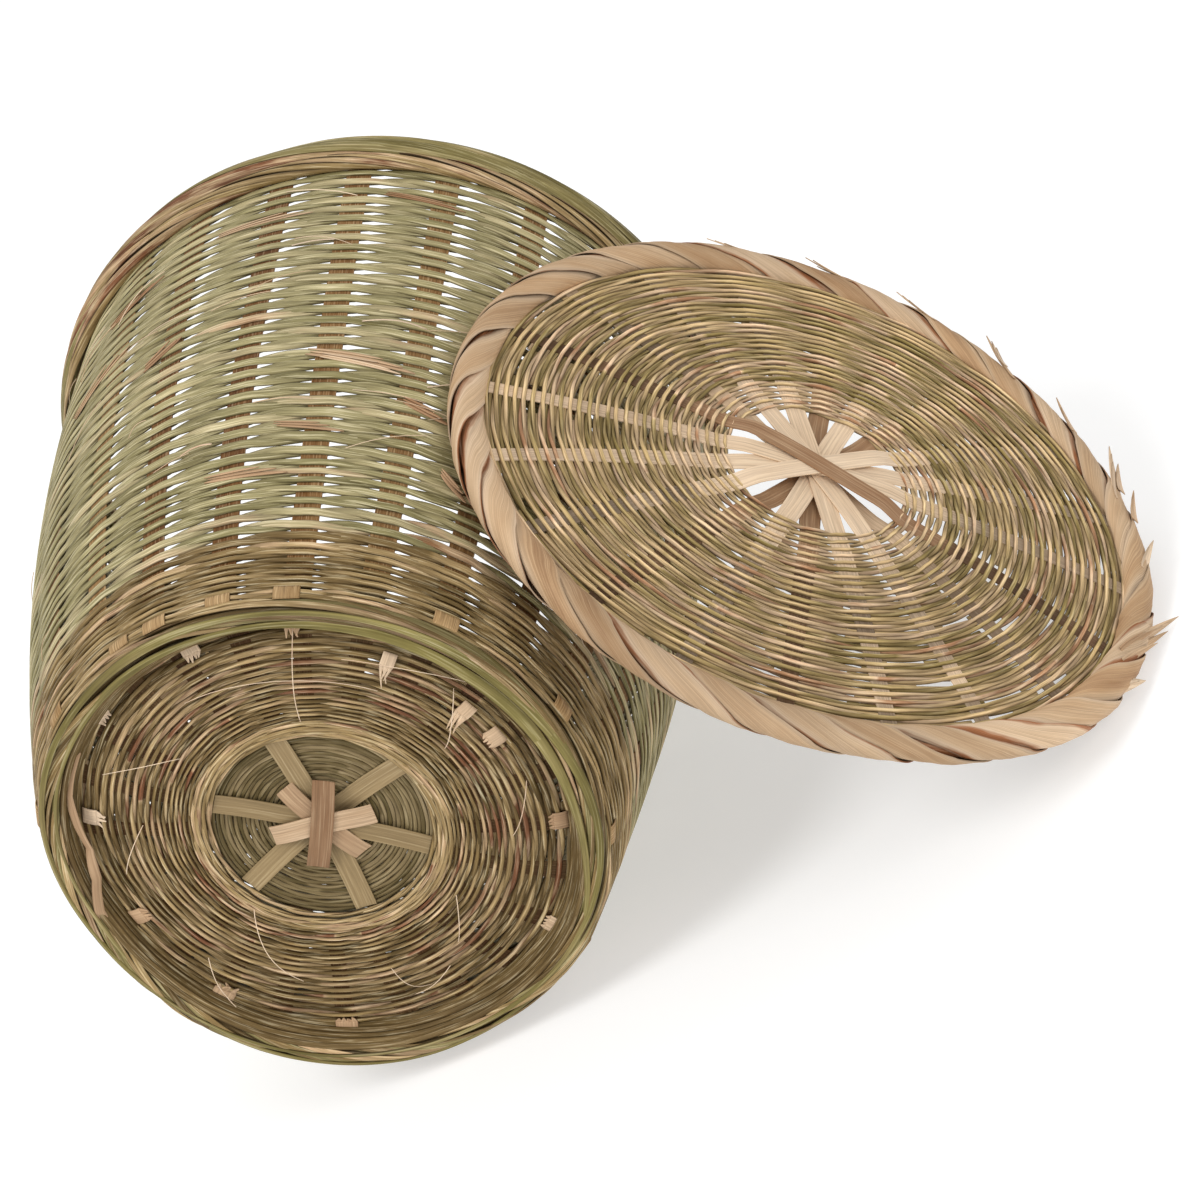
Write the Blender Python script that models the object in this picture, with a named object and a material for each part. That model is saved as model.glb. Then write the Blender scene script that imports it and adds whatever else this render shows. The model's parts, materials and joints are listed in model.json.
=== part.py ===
# Lidded woven bamboo basket, tipped onto its side with its lid leaning against it.
# Driving sizes are in millimetres, angles in degrees; the model itself is in metres.
import math

import bmesh
import bpy
from mathutils import Vector

MM = 0.001
GAP = 0.3                      # clearance kept between neighbouring splints

# Basket body, measured upright: z runs from the standing face to the top of the rim
HEIGHT = 236.0
FOOT_RADIUS = 90.0             # outside of the foot ring
RIM_RADIUS = 118.0             # outside of the rim
WALL_PROFILE = ((10.2, 90.5), (47.0, 99.0), (106.0, 108.0), (177.0, 112.4), (224.6, 111.4))
WEAVE_THICKNESS = 1.9
LOWER_BAND_TOP = 31.0          # the brown starting band of fine wefts
NECK_BAND_FOOT = 213.0         # the closing band under the rim
SLIT_TOP = 205.5               # the highest row of slits through the weave, beside the stakes
SLIT_STEP = 18.0
SLIT_ROWS = 8
SLIT_HEIGHT = 3.2
SLIT_REACH = 4.7               # degrees that a slit reaches to each side of its stake

# Flat splints
STAKE_COUNT = 24
STAKE_WIDTH = 8.4
STAKE_THICKNESS = 0.8
STAKE_INNER_RADIUS = 45.0      # where a stake starts, over the base weave
STAKE_TURN_RADIUS = 9.0        # bend from base to wall
STAKE_PHASE = -2.7             # direction of the first stake

# Base
BASE_PROFILE = ((38.5, 4.6), (58.0, 4.2), (75.6, 7.5))   # radius, underside above the standing plane
BASE_WEAVE_THICKNESS = 2.2
HUB_BINDING_RADIUS = 36.6
HUB_BINDING_THICKNESS = 1.5
HUB_DISC_RADIUS = 34.6
HUB_DISC_LIFT = 11.4           # underside of the hub disc at the centre
HUB_DISC_EDGE_LIFT = 7.9
HUB_DISC_THICKNESS = 1.6
HUB_SPLINT_WIDTH = 7.2
HUB_SPLINT_THICKNESS = 0.5
LONG_SPLINT_LENGTH = 68.0
CROSS_SPLINT_LENGTH = 33.0
LONG_SPLINT_ANGLES = (165.0, 98.0, 41.6)
CROSS_SPLINT_ANGLES = (75.1, 12.6, 125.7)

# Foot ring: a flat hoop with three canes twisted together outside it
FOOT_HOOP_INNER = 76.2
FOOT_HOOP_OUTER = 79.2
FOOT_HOOP_HEIGHT = 9.9
FOOT_CANE_RADIUS = 2.2
FOOT_CANE_LIFT = 5.0
CANE_COUNT = 3
CANE_TWISTS = -3               # full turns of the twist in one round, laid to the left

# Rim: three canes twisted together on top of the wall
RIM_CANE_RADIUS = 2.5
RIM_CORD_RADIUS = 1.2          # the thin cord laid under the canes
RIM_CORD_WAVE = 0.8            # how far it winds off its middle line
RIM_CORD_LIFT = 220.0
RIM_CORD_TWISTS = -12

# Lid, measured flat with its outside up, z = 0 on the middle of its border
LID_RADIUS = 121.0
LID_RISE = 8.6                 # how far the weave rises from border to hub
LID_WEAVE_INNER = 33.0
LID_WEAVE_OUTER = 109.6
LID_WEAVE_THICKNESS = 2.0
LID_WEAVE_RELIEF = 0.5         # how far the wefts sink between the splints they cross
LID_SPLINT_COUNT = 10
LID_SPLINT_START = 9.0         # direction of the first splint
LID_STACK_ORDER = (7, 6, 8, 1, 3, 0, 4, 5, 2, 9)   # each splint's place in the pile, 0 inside
LID_SPLINT_WIDTH = 7.0
LID_SPLINT_THICKNESS = 0.5
LID_STACK_RADIUS = 22.5        # inside this the splints lie on each other, outside side by side
LID_BORDER_CORE = 3.4
LID_WRAP_COUNT = 3
LID_WRAP_TURNS = 10            # laid to the left, as the canes are
LID_WRAP_INNER = 4.4
LID_WRAP_OUTER = 5.5
LID_WRAP_STEPS = 18            # facets in one turn
LID_WRAP_COVER = 104.0         # degrees of the border's section that one strip covers

# How the two pieces lie
BASKET_TILT = 4.45             # the axis rises towards the rim, the belly rests on the ground
LID_TILT = 49.57               # between the lid's own axis and the vertical
LID_TURN = -9.7                # about the vertical
LID_CENTRE = (162.9, 99.51, 93.47)

BASKET_STEPS = 48              # facets round the large turned shapes


def clear_scene():
    for thing in list(bpy.data.objects):
        bpy.data.objects.remove(thing)


def make_material(name, colour, roughness):
    material = bpy.data.materials.new(name)
    material.use_nodes = True
    shader = material.node_tree.nodes["Principled BSDF"]
    shader.inputs["Base Color"].default_value = (*colour, 1.0)
    shader.inputs["Roughness"].default_value = roughness
    shader.inputs["Metallic"].default_value = 0.0
    return material


def finish_object(name, bm, material, parent):
    """Scales a mesh drawn in millimetres and hangs it on its parent."""
    bmesh.ops.recalc_face_normals(bm, faces=bm.faces)
    bmesh.ops.scale(bm, vec=(MM, MM, MM), verts=bm.verts)
    mesh = bpy.data.meshes.new(name)
    bm.to_mesh(mesh)
    bm.free()
    mesh.shade_smooth()
    mesh.set_sharp_from_angle(angle=math.radians(40))
    mesh.materials.append(material)
    thing = bpy.data.objects.new(name, mesh)
    bpy.context.scene.collection.objects.link(thing)
    thing.parent = parent
    return thing


def polar(radius, degrees, z=0.0):
    turn = math.radians(degrees)
    return Vector((radius * math.cos(turn), radius * math.sin(turn), z))


def add_sweep(bm, rings, closed):
    """Joins equal rings of points into one skin; an open sweep gets end caps."""
    loops = [[bm.verts.new(point) for point in ring] for ring in rings]
    count = len(loops[0])
    pairs = zip(loops, loops[1:] + loops[:1]) if closed else zip(loops, loops[1:])
    for here, there in pairs:
        for i in range(count):
            j = (i + 1) % count
            bm.faces.new((here[i], here[j], there[j], there[i]))
    if not closed:
        bm.faces.new(loops[0][::-1])
        bm.faces.new(loops[-1])


def turned_ring(name, section, material, parent, steps=BASKET_STEPS):
    """A ring turned about z from a closed section of (radius, z) points."""
    bm = bmesh.new()
    rings = []
    for step in range(steps):
        degrees = 360.0 * step / steps
        rings.append([polar(radius, degrees, z) for radius, z in section])
    add_sweep(bm, rings, closed=True)
    return finish_object(name, bm, material, parent)


def turned_disc(name, under, thickness, material, parent, steps=BASKET_STEPS):
    """A dished disc turned about z; under holds (radius, z) points from edge to centre."""
    bm = bmesh.new()
    lower = [[bm.verts.new(polar(r, 360.0 * s / steps, z)) for s in range(steps)] for r, z in under[:-1]]
    upper = [[bm.verts.new(polar(r, 360.0 * s / steps, z + thickness)) for s in range(steps)]
             for r, z in under[:-1]]
    below = bm.verts.new((0, 0, under[-1][1]))
    above = bm.verts.new((0, 0, under[-1][1] + thickness))
    for s in range(steps):
        t = (s + 1) % steps
        for outer, inner in zip(lower, lower[1:]):
            bm.faces.new((outer[s], outer[t], inner[t], inner[s]))
        for outer, inner in zip(upper, upper[1:]):
            bm.faces.new((outer[t], outer[s], inner[s], inner[t]))
        bm.faces.new((lower[-1][s], lower[-1][t], below))
        bm.faces.new((upper[-1][t], upper[-1][s], above))
        bm.faces.new((lower[0][t], lower[0][s], upper[0][s], upper[0][t]))
    return finish_object(name, bm, material, parent)


def add_strip(bm, points, across, width, thickness):
    """A flat splint: points run along its middle, across is its width direction."""
    rings = []
    for i, point in enumerate(points):
        ahead = points[min(i + 1, len(points) - 1)] - points[max(i - 1, 0)]
        out = ahead.cross(across).normalized()
        side = across * (width / 2)
        lift = out * (thickness / 2)
        rings.append([point - side - lift, point + side - lift, point + side + lift, point - side + lift])
    add_sweep(bm, rings, closed=False)


def add_cane(bm, ring_radius, lift, helix, cane, twists, phase, steps, sides):
    """One cane of a twisted ring: a closed tube that winds about the ring's middle line."""
    rings = []
    for step in range(steps):
        turn = 360.0 * step / steps
        wind = math.radians(twists * turn + phase)
        radius = ring_radius + helix * math.cos(wind)
        z = lift + helix * math.sin(wind)
        ring = []
        for side in range(sides):
            angle = 2 * math.pi * side / sides
            ring.append(polar(radius + cane * math.cos(angle), turn, z + cane * math.sin(angle)))
        rings.append(ring)
    add_sweep(bm, rings, closed=True)


def twist_helix(cane):
    """Distance of each of three touching canes from the middle of their bundle."""
    return (2 * cane + GAP) / math.sqrt(3)


def wall_radius(z):
    """Outside of the woven wall at a height, smooth through the profile points."""
    heights = [point[0] for point in WALL_PROFILE]
    radii = [point[1] for point in WALL_PROFILE]
    if z <= heights[0]:
        slope = (radii[1] - radii[0]) / (heights[1] - heights[0])
        return radii[0] + slope * (z - heights[0])
    if z >= heights[-1]:
        return radii[-1]
    i = max(k for k in range(len(heights) - 1) if heights[k] <= z)
    span = heights[i + 1] - heights[i]
    t = (z - heights[i]) / span

    def tangent(k):
        low, high = max(k - 1, 0), min(k + 1, len(heights) - 1)
        return (radii[high] - radii[low]) / (heights[high] - heights[low])

    return ((2 * t**3 - 3 * t**2 + 1) * radii[i] + (t**3 - 2 * t**2 + t) * span * tangent(i)
            + (3 * t**2 - 2 * t**3) * radii[i + 1] + (t**3 - t**2) * span * tangent(i + 1))


def wall_band(name, low, high, parts, material, parent):
    """One band of the woven wall, open at both ends."""
    heights = [low + (high - low) * k / parts for k in range(parts + 1)]
    outside = [(wall_radius(z), z) for z in heights]
    inside = [(wall_radius(z) - WEAVE_THICKNESS, z) for z in reversed(heights)]
    return turned_ring(name, outside + inside, material, parent)


def pierced_band(name, material, parent):
    """The main band of the wall: a skin with a slit across each stake in every slit row."""
    slits = [SLIT_TOP - SLIT_STEP * k for k in reversed(range(SLIT_ROWS))]
    heights = [LOWER_BAND_TOP + GAP, 46.0, 62.0]
    for middle in slits:
        heights += [middle - SLIT_HEIGHT / 2, middle + SLIT_HEIGHT / 2]
    heights.append(NECK_BAND_FOOT - GAP)
    turns = [STAKE_PHASE + 360.0 * k / STAKE_COUNT + reach for k in range(STAKE_COUNT)
             for reach in (-SLIT_REACH, 0.0, SLIT_REACH)]
    bm = bmesh.new()
    outer, inner = [[[bm.verts.new(polar(wall_radius(z) - depth, turn, z)) for turn in turns]
                     for z in heights] for depth in (0.0, WEAVE_THICKNESS)]

    def solid(row, column):
        inside = 0 <= row < len(heights) - 1
        slit_row = row >= 3 and (row - 3) % 2 == 0
        return inside and not (slit_row and column % 3 != 2)

    for row in range(len(heights) - 1):
        for here in range(len(turns)):
            if not solid(row, here):
                continue
            there = (here + 1) % len(turns)
            for skin in (outer, inner):
                bm.faces.new((skin[row][here], skin[row][there], skin[row + 1][there], skin[row + 1][here]))
            edges = (
                (solid(row - 1, here), (row, here), (row, there)),
                (solid(row + 1, here), (row + 1, here), (row + 1, there)),
                (solid(row, here - 1), (row, here), (row + 1, here)),
                (solid(row, there), (row, there), (row + 1, there)),
            )
            for joined, (a, b), (c, d) in edges:
                if not joined:
                    bm.faces.new((outer[a][b], outer[c][d], inner[c][d], inner[a][b]))
    return finish_object(name, bm, material, parent)


def base_underside(radius):
    """Underside of the base weave above the standing plane."""
    for (near, low), (far, high) in zip(BASE_PROFILE, BASE_PROFILE[1:]):
        if radius <= far:
            break
    return low + (high - low) * (radius - near) / (far - near)


def hub_underside(radius):
    """Underside of the dished disc inside the hub."""
    t = min(radius / HUB_DISC_RADIUS, 1.0)
    return HUB_DISC_LIFT - (HUB_DISC_LIFT - HUB_DISC_EDGE_LIFT) * t**2


def make_wall(parent, look):
    """The woven wall in three bands, and the stakes that stand inside it."""
    start = WALL_PROFILE[0][0]
    wall_band("wall_lower_band", start, LOWER_BAND_TOP, 2, look["tan_weave"], parent)
    pierced_band("wall_weave", look["green_weave"], parent)
    wall_band("wall_neck_band", NECK_BAND_FOOT, WALL_PROFILE[-1][0], 1, look["green_weave"], parent)
    for k in range(STAKE_COUNT):
        degrees = STAKE_PHASE + 360.0 * k / STAKE_COUNT
        bm = bmesh.new()
        add_strip(bm, stake_line(degrees), polar(1.0, degrees + 90.0), STAKE_WIDTH, STAKE_THICKNESS)
        finish_object(f"stake_{k + 1:02d}", bm, look["stake"], parent)


def stake_line(degrees):
    """Middle line of one stake: out over the base weave, round the bend, up inside the wall."""
    clear = GAP + STAKE_THICKNESS / 2
    wall_inside = WEAVE_THICKNESS + clear
    over_base = BASE_WEAVE_THICKNESS + clear + 0.2
    floor_end = FOOT_HOOP_HEIGHT + clear
    bend_z = floor_end + STAKE_TURN_RADIUS
    bend_radius = wall_radius(bend_z) - wall_inside - STAKE_TURN_RADIUS
    points = [polar(r, degrees, base_underside(r) + over_base) for r in (STAKE_INNER_RADIUS, 58.0, 75.0)]
    for k in range(4):
        turn = math.radians(90.0 * k / 3)
        points.append(polar(bend_radius + STAKE_TURN_RADIUS * math.sin(turn), degrees,
                            bend_z - STAKE_TURN_RADIUS * math.cos(turn)))
    top = WALL_PROFILE[-1][0]
    for k in range(1, 7):
        z = bend_z + (top - bend_z) * k / 6
        points.append(polar(wall_radius(z) - wall_inside - 0.25, degrees, z))
    return points


def make_base(parent, look):
    """The base weave, the recessed hub disc with its binding, the splints over it."""
    under = list(BASE_PROFILE)
    over = [(r, z + BASE_WEAVE_THICKNESS) for r, z in reversed(BASE_PROFILE)]
    turned_ring("base_weave", under + over, look["brown_weave"], parent)

    middle = (BASE_PROFILE[0][1] + HUB_DISC_EDGE_LIFT) / 2 + 0.6
    binding = []
    for k in range(6):
        angle = math.radians(60.0 * k)
        binding.append((HUB_BINDING_RADIUS + HUB_BINDING_THICKNESS * math.cos(angle),
                        middle + 1.6 * HUB_BINDING_THICKNESS * math.sin(angle)))
    turned_ring("hub_binding", binding, look["tan_weave"], parent, steps=36)

    profile = [(r, hub_underside(r)) for r in (HUB_DISC_RADIUS, 26.0, 14.0, 0.0)]
    turned_disc("hub_disc", profile, HUB_DISC_THICKNESS, look["fine_green_weave"], parent, steps=36)

    level = HUB_SPLINT_THICKNESS + GAP
    for k, degrees in enumerate(LONG_SPLINT_ANGLES):
        hub_splint(f"hub_long_splint_{k + 1}", degrees, LONG_SPLINT_LENGTH, (k + 1) * level,
                   look["grey_splint"], parent)
    for k, degrees in enumerate(CROSS_SPLINT_ANGLES):
        hub_splint(f"hub_cross_splint_{k + 1}", degrees, CROSS_SPLINT_LENGTH, (k + 4) * level,
                   look["pale_splint"], parent)


def hub_splint(name, degrees, length, drop, material, parent):
    """A splint that crosses the hub below the disc, with its ends laid back against it."""
    points = []
    steps = 12
    for k in range(steps + 1):
        along = length * (k / steps - 0.5)
        flat = 13.0
        rest = max(0.0, abs(along) - flat) / (length / 2 - flat)
        hang = drop + (HUB_SPLINT_THICKNESS + GAP - drop) * min(1.0, rest) if length > 40 else drop
        z = hub_underside(abs(along)) - hang
        points.append(polar(along, degrees, z))
    bm = bmesh.new()
    add_strip(bm, points, polar(1.0, degrees + 90.0), HUB_SPLINT_WIDTH, HUB_SPLINT_THICKNESS)
    return finish_object(name, bm, material, parent)


def make_foot(parent, look):
    """The flat hoop that the basket stands on, and the canes twisted round the base's edge."""
    hoop = [(FOOT_HOOP_OUTER, 0.0), (FOOT_HOOP_OUTER, FOOT_HOOP_HEIGHT),
            (FOOT_HOOP_INNER, FOOT_HOOP_HEIGHT), (FOOT_HOOP_INNER, 0.0)]
    turned_ring("foot_hoop", hoop, look["green_cane"], parent)
    helix = twist_helix(FOOT_CANE_RADIUS)
    middle = FOOT_RADIUS - helix - FOOT_CANE_RADIUS
    for k in range(CANE_COUNT):
        bm = bmesh.new()
        add_cane(bm, middle, FOOT_CANE_LIFT, helix, FOOT_CANE_RADIUS, CANE_TWISTS,
                 360.0 * k / CANE_COUNT, 36, 6)
        finish_object(f"foot_cane_{k + 1}", bm, look["green_cane"], parent)


def make_rim(parent, look):
    """Three twisted canes on the wall's top edge, and the thin cord laid under them."""
    helix = twist_helix(RIM_CANE_RADIUS)
    middle = RIM_RADIUS - helix - RIM_CANE_RADIUS
    lift = HEIGHT - helix - RIM_CANE_RADIUS
    for k in range(CANE_COUNT):
        bm = bmesh.new()
        add_cane(bm, middle, lift, helix, RIM_CANE_RADIUS, CANE_TWISTS, 360.0 * k / CANE_COUNT, 48, 6)
        finish_object(f"rim_cane_{k + 1}", bm, look["green_cane"], parent)
    bm = bmesh.new()
    cord_middle = wall_radius(WALL_PROFILE[-1][0]) + GAP + RIM_CORD_RADIUS + RIM_CORD_WAVE
    add_cane(bm, cord_middle, RIM_CORD_LIFT, RIM_CORD_WAVE, RIM_CORD_RADIUS, RIM_CORD_TWISTS,
             0.0, 96, 4)
    finish_object("rim_cord", bm, look["tan_weave"], parent)


def lid_weave_top(radius):
    """Outside of the lid's weave above the middle of its border."""
    t = min(radius / LID_WEAVE_OUTER, 1.0)
    return 1.0 + LID_RISE * (1.0 - t**2)


def make_lid(parent, look):
    """The dished weave, the splints that cross under it, the border core and its wrapping."""
    radii = (LID_WEAVE_INNER, 58.0, 84.0, LID_WEAVE_OUTER)
    bm = bmesh.new()
    rings = []
    for step in range(8 * LID_SPLINT_COUNT):
        turn = LID_SPLINT_START + 45.0 * step / LID_SPLINT_COUNT
        sunk = LID_WEAVE_RELIEF * (0.0, 0.6, 1.0, 0.6)[step % 4]
        over = [polar(r, turn, lid_weave_top(r) - sunk) for r in reversed(radii)]
        under = [polar(r, turn, lid_weave_top(r) - LID_WEAVE_THICKNESS + sunk) for r in radii]
        rings.append(over + under)
    add_sweep(bm, rings, closed=True)
    finish_object("lid_weave", bm, look["green_weave"], parent)

    level = LID_SPLINT_THICKNESS + GAP
    for k in range(LID_SPLINT_COUNT):
        degrees = LID_SPLINT_START + 180.0 * k / LID_SPLINT_COUNT
        bm = bmesh.new()
        add_strip(bm, lid_splint_line(degrees, LID_STACK_ORDER[k], level), polar(1.0, degrees + 90.0),
                  LID_SPLINT_WIDTH, LID_SPLINT_THICKNESS)
        finish_object(f"lid_splint_{k + 1:02d}", bm, look["pale_splint"], parent)

    middle = LID_RADIUS - LID_WRAP_OUTER
    core = []
    for k in range(8):
        angle = math.radians(45.0 * k)
        core.append((middle + LID_BORDER_CORE * math.cos(angle), LID_BORDER_CORE * math.sin(angle)))
    turned_ring("lid_border_core", core, look["tan_weave"], parent)
    for k in range(LID_WRAP_COUNT):
        finish_object(f"lid_border_wrap_{k + 1}", border_wrap(middle, 360.0 * k / LID_WRAP_COUNT),
                      look["straw_wrap"], parent)


def lid_splint_line(degrees, order, level):
    """Middle line of one lid splint: stacked with the others at the hub, under the weave outside it."""
    under_weave = LID_WEAVE_THICKNESS + GAP + LID_SPLINT_THICKNESS / 2
    hub = lid_weave_top(0.0) - LID_WEAVE_THICKNESS / 2 + (order - (LID_SPLINT_COUNT - 1) / 2) * level
    half = [(0.0, hub), (11.0, hub), (LID_STACK_RADIUS, hub)]
    for radius in (LID_WEAVE_INNER - 0.6, 58.0, 84.0, LID_WEAVE_OUTER - 1.0):
        half.append((radius, lid_weave_top(radius) - under_weave))
    line = [(-radius, z) for radius, z in half[:0:-1]] + half
    return [polar(radius, degrees, z) for radius, z in line]


def border_wrap(middle, phase):
    """One flat strip wound round the border core, its leading edge lifted over its neighbour."""
    steps = LID_WRAP_STEPS * LID_WRAP_TURNS
    bm = bmesh.new()
    rings = []
    for step in range(steps):
        turn = 360.0 * step / steps
        wind = phase - LID_WRAP_TURNS * turn
        outer = []
        inner = []
        for k in range(3):
            share = k / 2
            angle = math.radians(wind + LID_WRAP_COVER * (share - 0.5))
            out = LID_WRAP_OUTER - 0.5 * (1.0 - share)
            outer.append(polar(middle + out * math.cos(angle), turn, out * math.sin(angle)))
            inner.append(polar(middle + LID_WRAP_INNER * math.cos(angle), turn,
                               LID_WRAP_INNER * math.sin(angle)))
        rings.append(outer + inner[::-1])
    add_sweep(bm, rings, closed=True)
    return bm


def make_empty(name, location, rotation, parent=None):
    empty = bpy.data.objects.new(name, None)
    empty.location = location
    empty.rotation_euler = rotation
    empty.parent = parent
    bpy.context.scene.collection.objects.link(empty)
    return empty


def support_height():
    """How far the basket's axis foot lies above the ground when the belly and rim rest on it."""
    tilt = math.radians(BASKET_TILT)
    bundle = twist_helix(RIM_CANE_RADIUS) + RIM_CANE_RADIUS
    rim = (RIM_RADIUS - bundle) * math.cos(tilt) + bundle - (HEIGHT - bundle) * math.sin(tilt)
    belly = max(wall_radius(z) * math.cos(tilt) - z * math.sin(tilt) for z in range(12, 220, 4))
    return max(rim, belly)


def centre_over_origin(ground):
    """Moves everything so that the box round it stands centred on the origin."""
    bpy.context.view_layer.update()
    corners = [thing.matrix_world @ Vector(corner) for thing in bpy.context.scene.objects
               if thing.type == "MESH" for corner in (v.co for v in thing.data.vertices)]
    for axis in range(2):
        places = [corner[axis] for corner in corners]
        ground.location[axis] = -(min(places) + max(places)) / 2
    ground.location[2] = -min(corner[2] for corner in corners)


def main():
    clear_scene()
    look = {
        "green_weave": make_material("green_weave", (0.36, 0.34, 0.16), 0.55),
        "tan_weave": make_material("tan_weave", (0.45, 0.33, 0.18), 0.6),
        "brown_weave": make_material("brown_weave", (0.33, 0.26, 0.14), 0.6),
        "fine_green_weave": make_material("fine_green_weave", (0.21, 0.20, 0.10), 0.55),
        "stake": make_material("stake", (0.42, 0.29, 0.15), 0.6),
        "green_cane": make_material("green_cane", (0.30, 0.30, 0.12), 0.45),
        "grey_splint": make_material("grey_splint", (0.38, 0.33, 0.20), 0.55),
        "pale_splint": make_material("pale_splint", (0.60, 0.45, 0.28), 0.55),
        "straw_wrap": make_material("straw_wrap", (0.66, 0.49, 0.31), 0.5),
    }
    ground = make_empty("ground", (0, 0, 0), (0, 0, 0))
    basket = make_empty("basket_axis", (0, 0, support_height() * MM),
                        (math.radians(BASKET_TILT - 90.0), 0, 0), ground)
    lid = make_empty("lid_axis", Vector(LID_CENTRE) * MM,
                     (0, math.radians(LID_TILT), math.radians(LID_TURN)), ground)
    make_wall(basket, look)
    make_base(basket, look)
    make_foot(basket, look)
    make_rim(basket, look)
    make_lid(lid, look)
    centre_over_origin(ground)


main()
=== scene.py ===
# The looks of a lidded basket of twined bamboo splints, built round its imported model.
import json
import math
import random

import bpy
import numpy as np
from mathutils import Matrix, Vector


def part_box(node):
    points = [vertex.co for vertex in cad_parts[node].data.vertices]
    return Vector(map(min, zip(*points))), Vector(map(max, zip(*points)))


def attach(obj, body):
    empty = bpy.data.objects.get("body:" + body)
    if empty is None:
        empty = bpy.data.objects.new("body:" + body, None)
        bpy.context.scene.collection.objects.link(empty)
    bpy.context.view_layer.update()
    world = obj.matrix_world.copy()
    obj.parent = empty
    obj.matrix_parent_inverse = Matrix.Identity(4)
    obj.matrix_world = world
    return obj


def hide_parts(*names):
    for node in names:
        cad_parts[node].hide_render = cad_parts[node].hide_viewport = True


mm = 0.001
full = 2 * math.pi
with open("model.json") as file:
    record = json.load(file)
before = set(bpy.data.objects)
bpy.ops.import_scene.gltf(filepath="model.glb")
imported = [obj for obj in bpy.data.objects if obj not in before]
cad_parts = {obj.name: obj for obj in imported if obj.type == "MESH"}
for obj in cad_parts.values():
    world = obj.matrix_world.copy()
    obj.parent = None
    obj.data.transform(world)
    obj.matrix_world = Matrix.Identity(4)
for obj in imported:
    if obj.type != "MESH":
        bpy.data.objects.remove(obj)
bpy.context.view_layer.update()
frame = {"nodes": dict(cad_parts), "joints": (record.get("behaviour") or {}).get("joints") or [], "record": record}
print("frame loaded:", len(frame["nodes"]), "nodes")

# The camera stands where the photograph was taken from, rolled to the left
camera = {
    "aim": (0.0146, -0.0019, 0.0836),
    "distance": 1.4803,
    "azimuth": 21.57,
    "elevation": 23.565,
    "roll": -33.27,
    "lens": 135.83,
    "sensor": 36,
    "farthest": 20,
}


def placeCamera():
    turn = math.radians(camera["azimuth"])
    rise = math.radians(camera["elevation"])
    level = math.cos(rise)
    ahead = Vector((-math.sin(turn) * level, math.cos(turn) * level, -math.sin(rise)))
    bpy.ops.object.camera_add(location=Vector(camera["aim"]) - ahead * camera["distance"])
    eye = bpy.context.object
    eye.data.lens = camera["lens"]
    eye.data.sensor_width = camera["sensor"]
    eye.data.clip_end = camera["farthest"]
    roll = Matrix.Rotation(math.radians(camera["roll"]), 3, "Z")
    eye.rotation_euler = (ahead.to_track_quat("-Z", "Y").to_matrix() @ roll).to_euler()
    bpy.context.scene.camera = eye


placeCamera()

# Both pieces are drawn in millimetres on their own axes: x and y across, z along the axis
hoopHeight = 9.9  # the foot hoop's, which stands on the plane z = 0


def middleOf(name):
    low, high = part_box(name)
    return (np.array(low) + np.array(high)) / 2


def basketPlace():
    up = -np.array(frame["record"]["mounts"][0]["axis"])
    across = np.array((1, 0, 0))
    foot = middleOf("foot_hoop") - up * hoopHeight / 2 * mm
    return foot, np.array((across, np.cross(up, across), up))


def lidPlace():
    up = np.array(frame["joints"][0]["axis"], float)
    level = np.cross((0, 0, 1), up)
    level /= np.linalg.norm(level)
    return middleOf("lid_border_core"), np.array((np.cross(level, up), level, up))


basket = {"place": basketPlace(), "body": "basket"}
lid = {"place": lidPlace(), "body": "lid"}


def polar(radius, turn, height):
    return np.stack([radius * np.cos(turn), radius * np.sin(turn), height + 0 * turn], axis=-1)


def unit(rows):
    return rows / np.linalg.norm(rows, axis=-1, keepdims=True)


# Points that stand proud of a turned surface, and the way they face, which leans across and rises
def raised(radius, turn, height, across, rise, proud):
    out = unit(polar(across, turn, rise))
    return polar(radius, turn, height) + out * proud[:, None], out


# Flat points turned by an angle, at their heights
def laid(along, across, turn, height):
    x = along * np.cos(turn) - across * np.sin(turn)
    y = along * np.sin(turn) + across * np.cos(turn)
    return np.stack([x, y, height], axis=1)


def roundTurns(steps):
    return np.arange(steps) / steps * full


# A few sine waves round the ring, so that the ends meet
def ripple(turn, dice, waves, size):
    total = 0 * turn
    for wave in waves:
        total = total + dice.uniform(-1, 1) * np.sin(wave * turn + dice.uniform(0, full))
    return size * total / math.sqrt(len(waves))


# 1 at a direction in degrees, about a third at its reach and nothing far beyond it
def nearness(turn, place, reach):
    return np.exp(-(((np.degrees(turn) - place + 180) % 360 - 180) / reach) ** 2)


# Reads a table of direction and value smoothly round the ring
def smoothed(table, turn):
    places, values = zip(*table)
    shifts = (-10, -5, 0, 5, 10)
    return sum(np.interp(np.degrees(turn) + s, places, values, period=360) for s in shifts) / len(shifts)


def srgb(red, green, blue):
    values = [v / 255 for v in (red, green, blue)]
    return tuple(v / 12.92 if v < 0.04045 else ((v + 0.055) / 1.055) ** 2.4 for v in values) + (1,)


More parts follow.
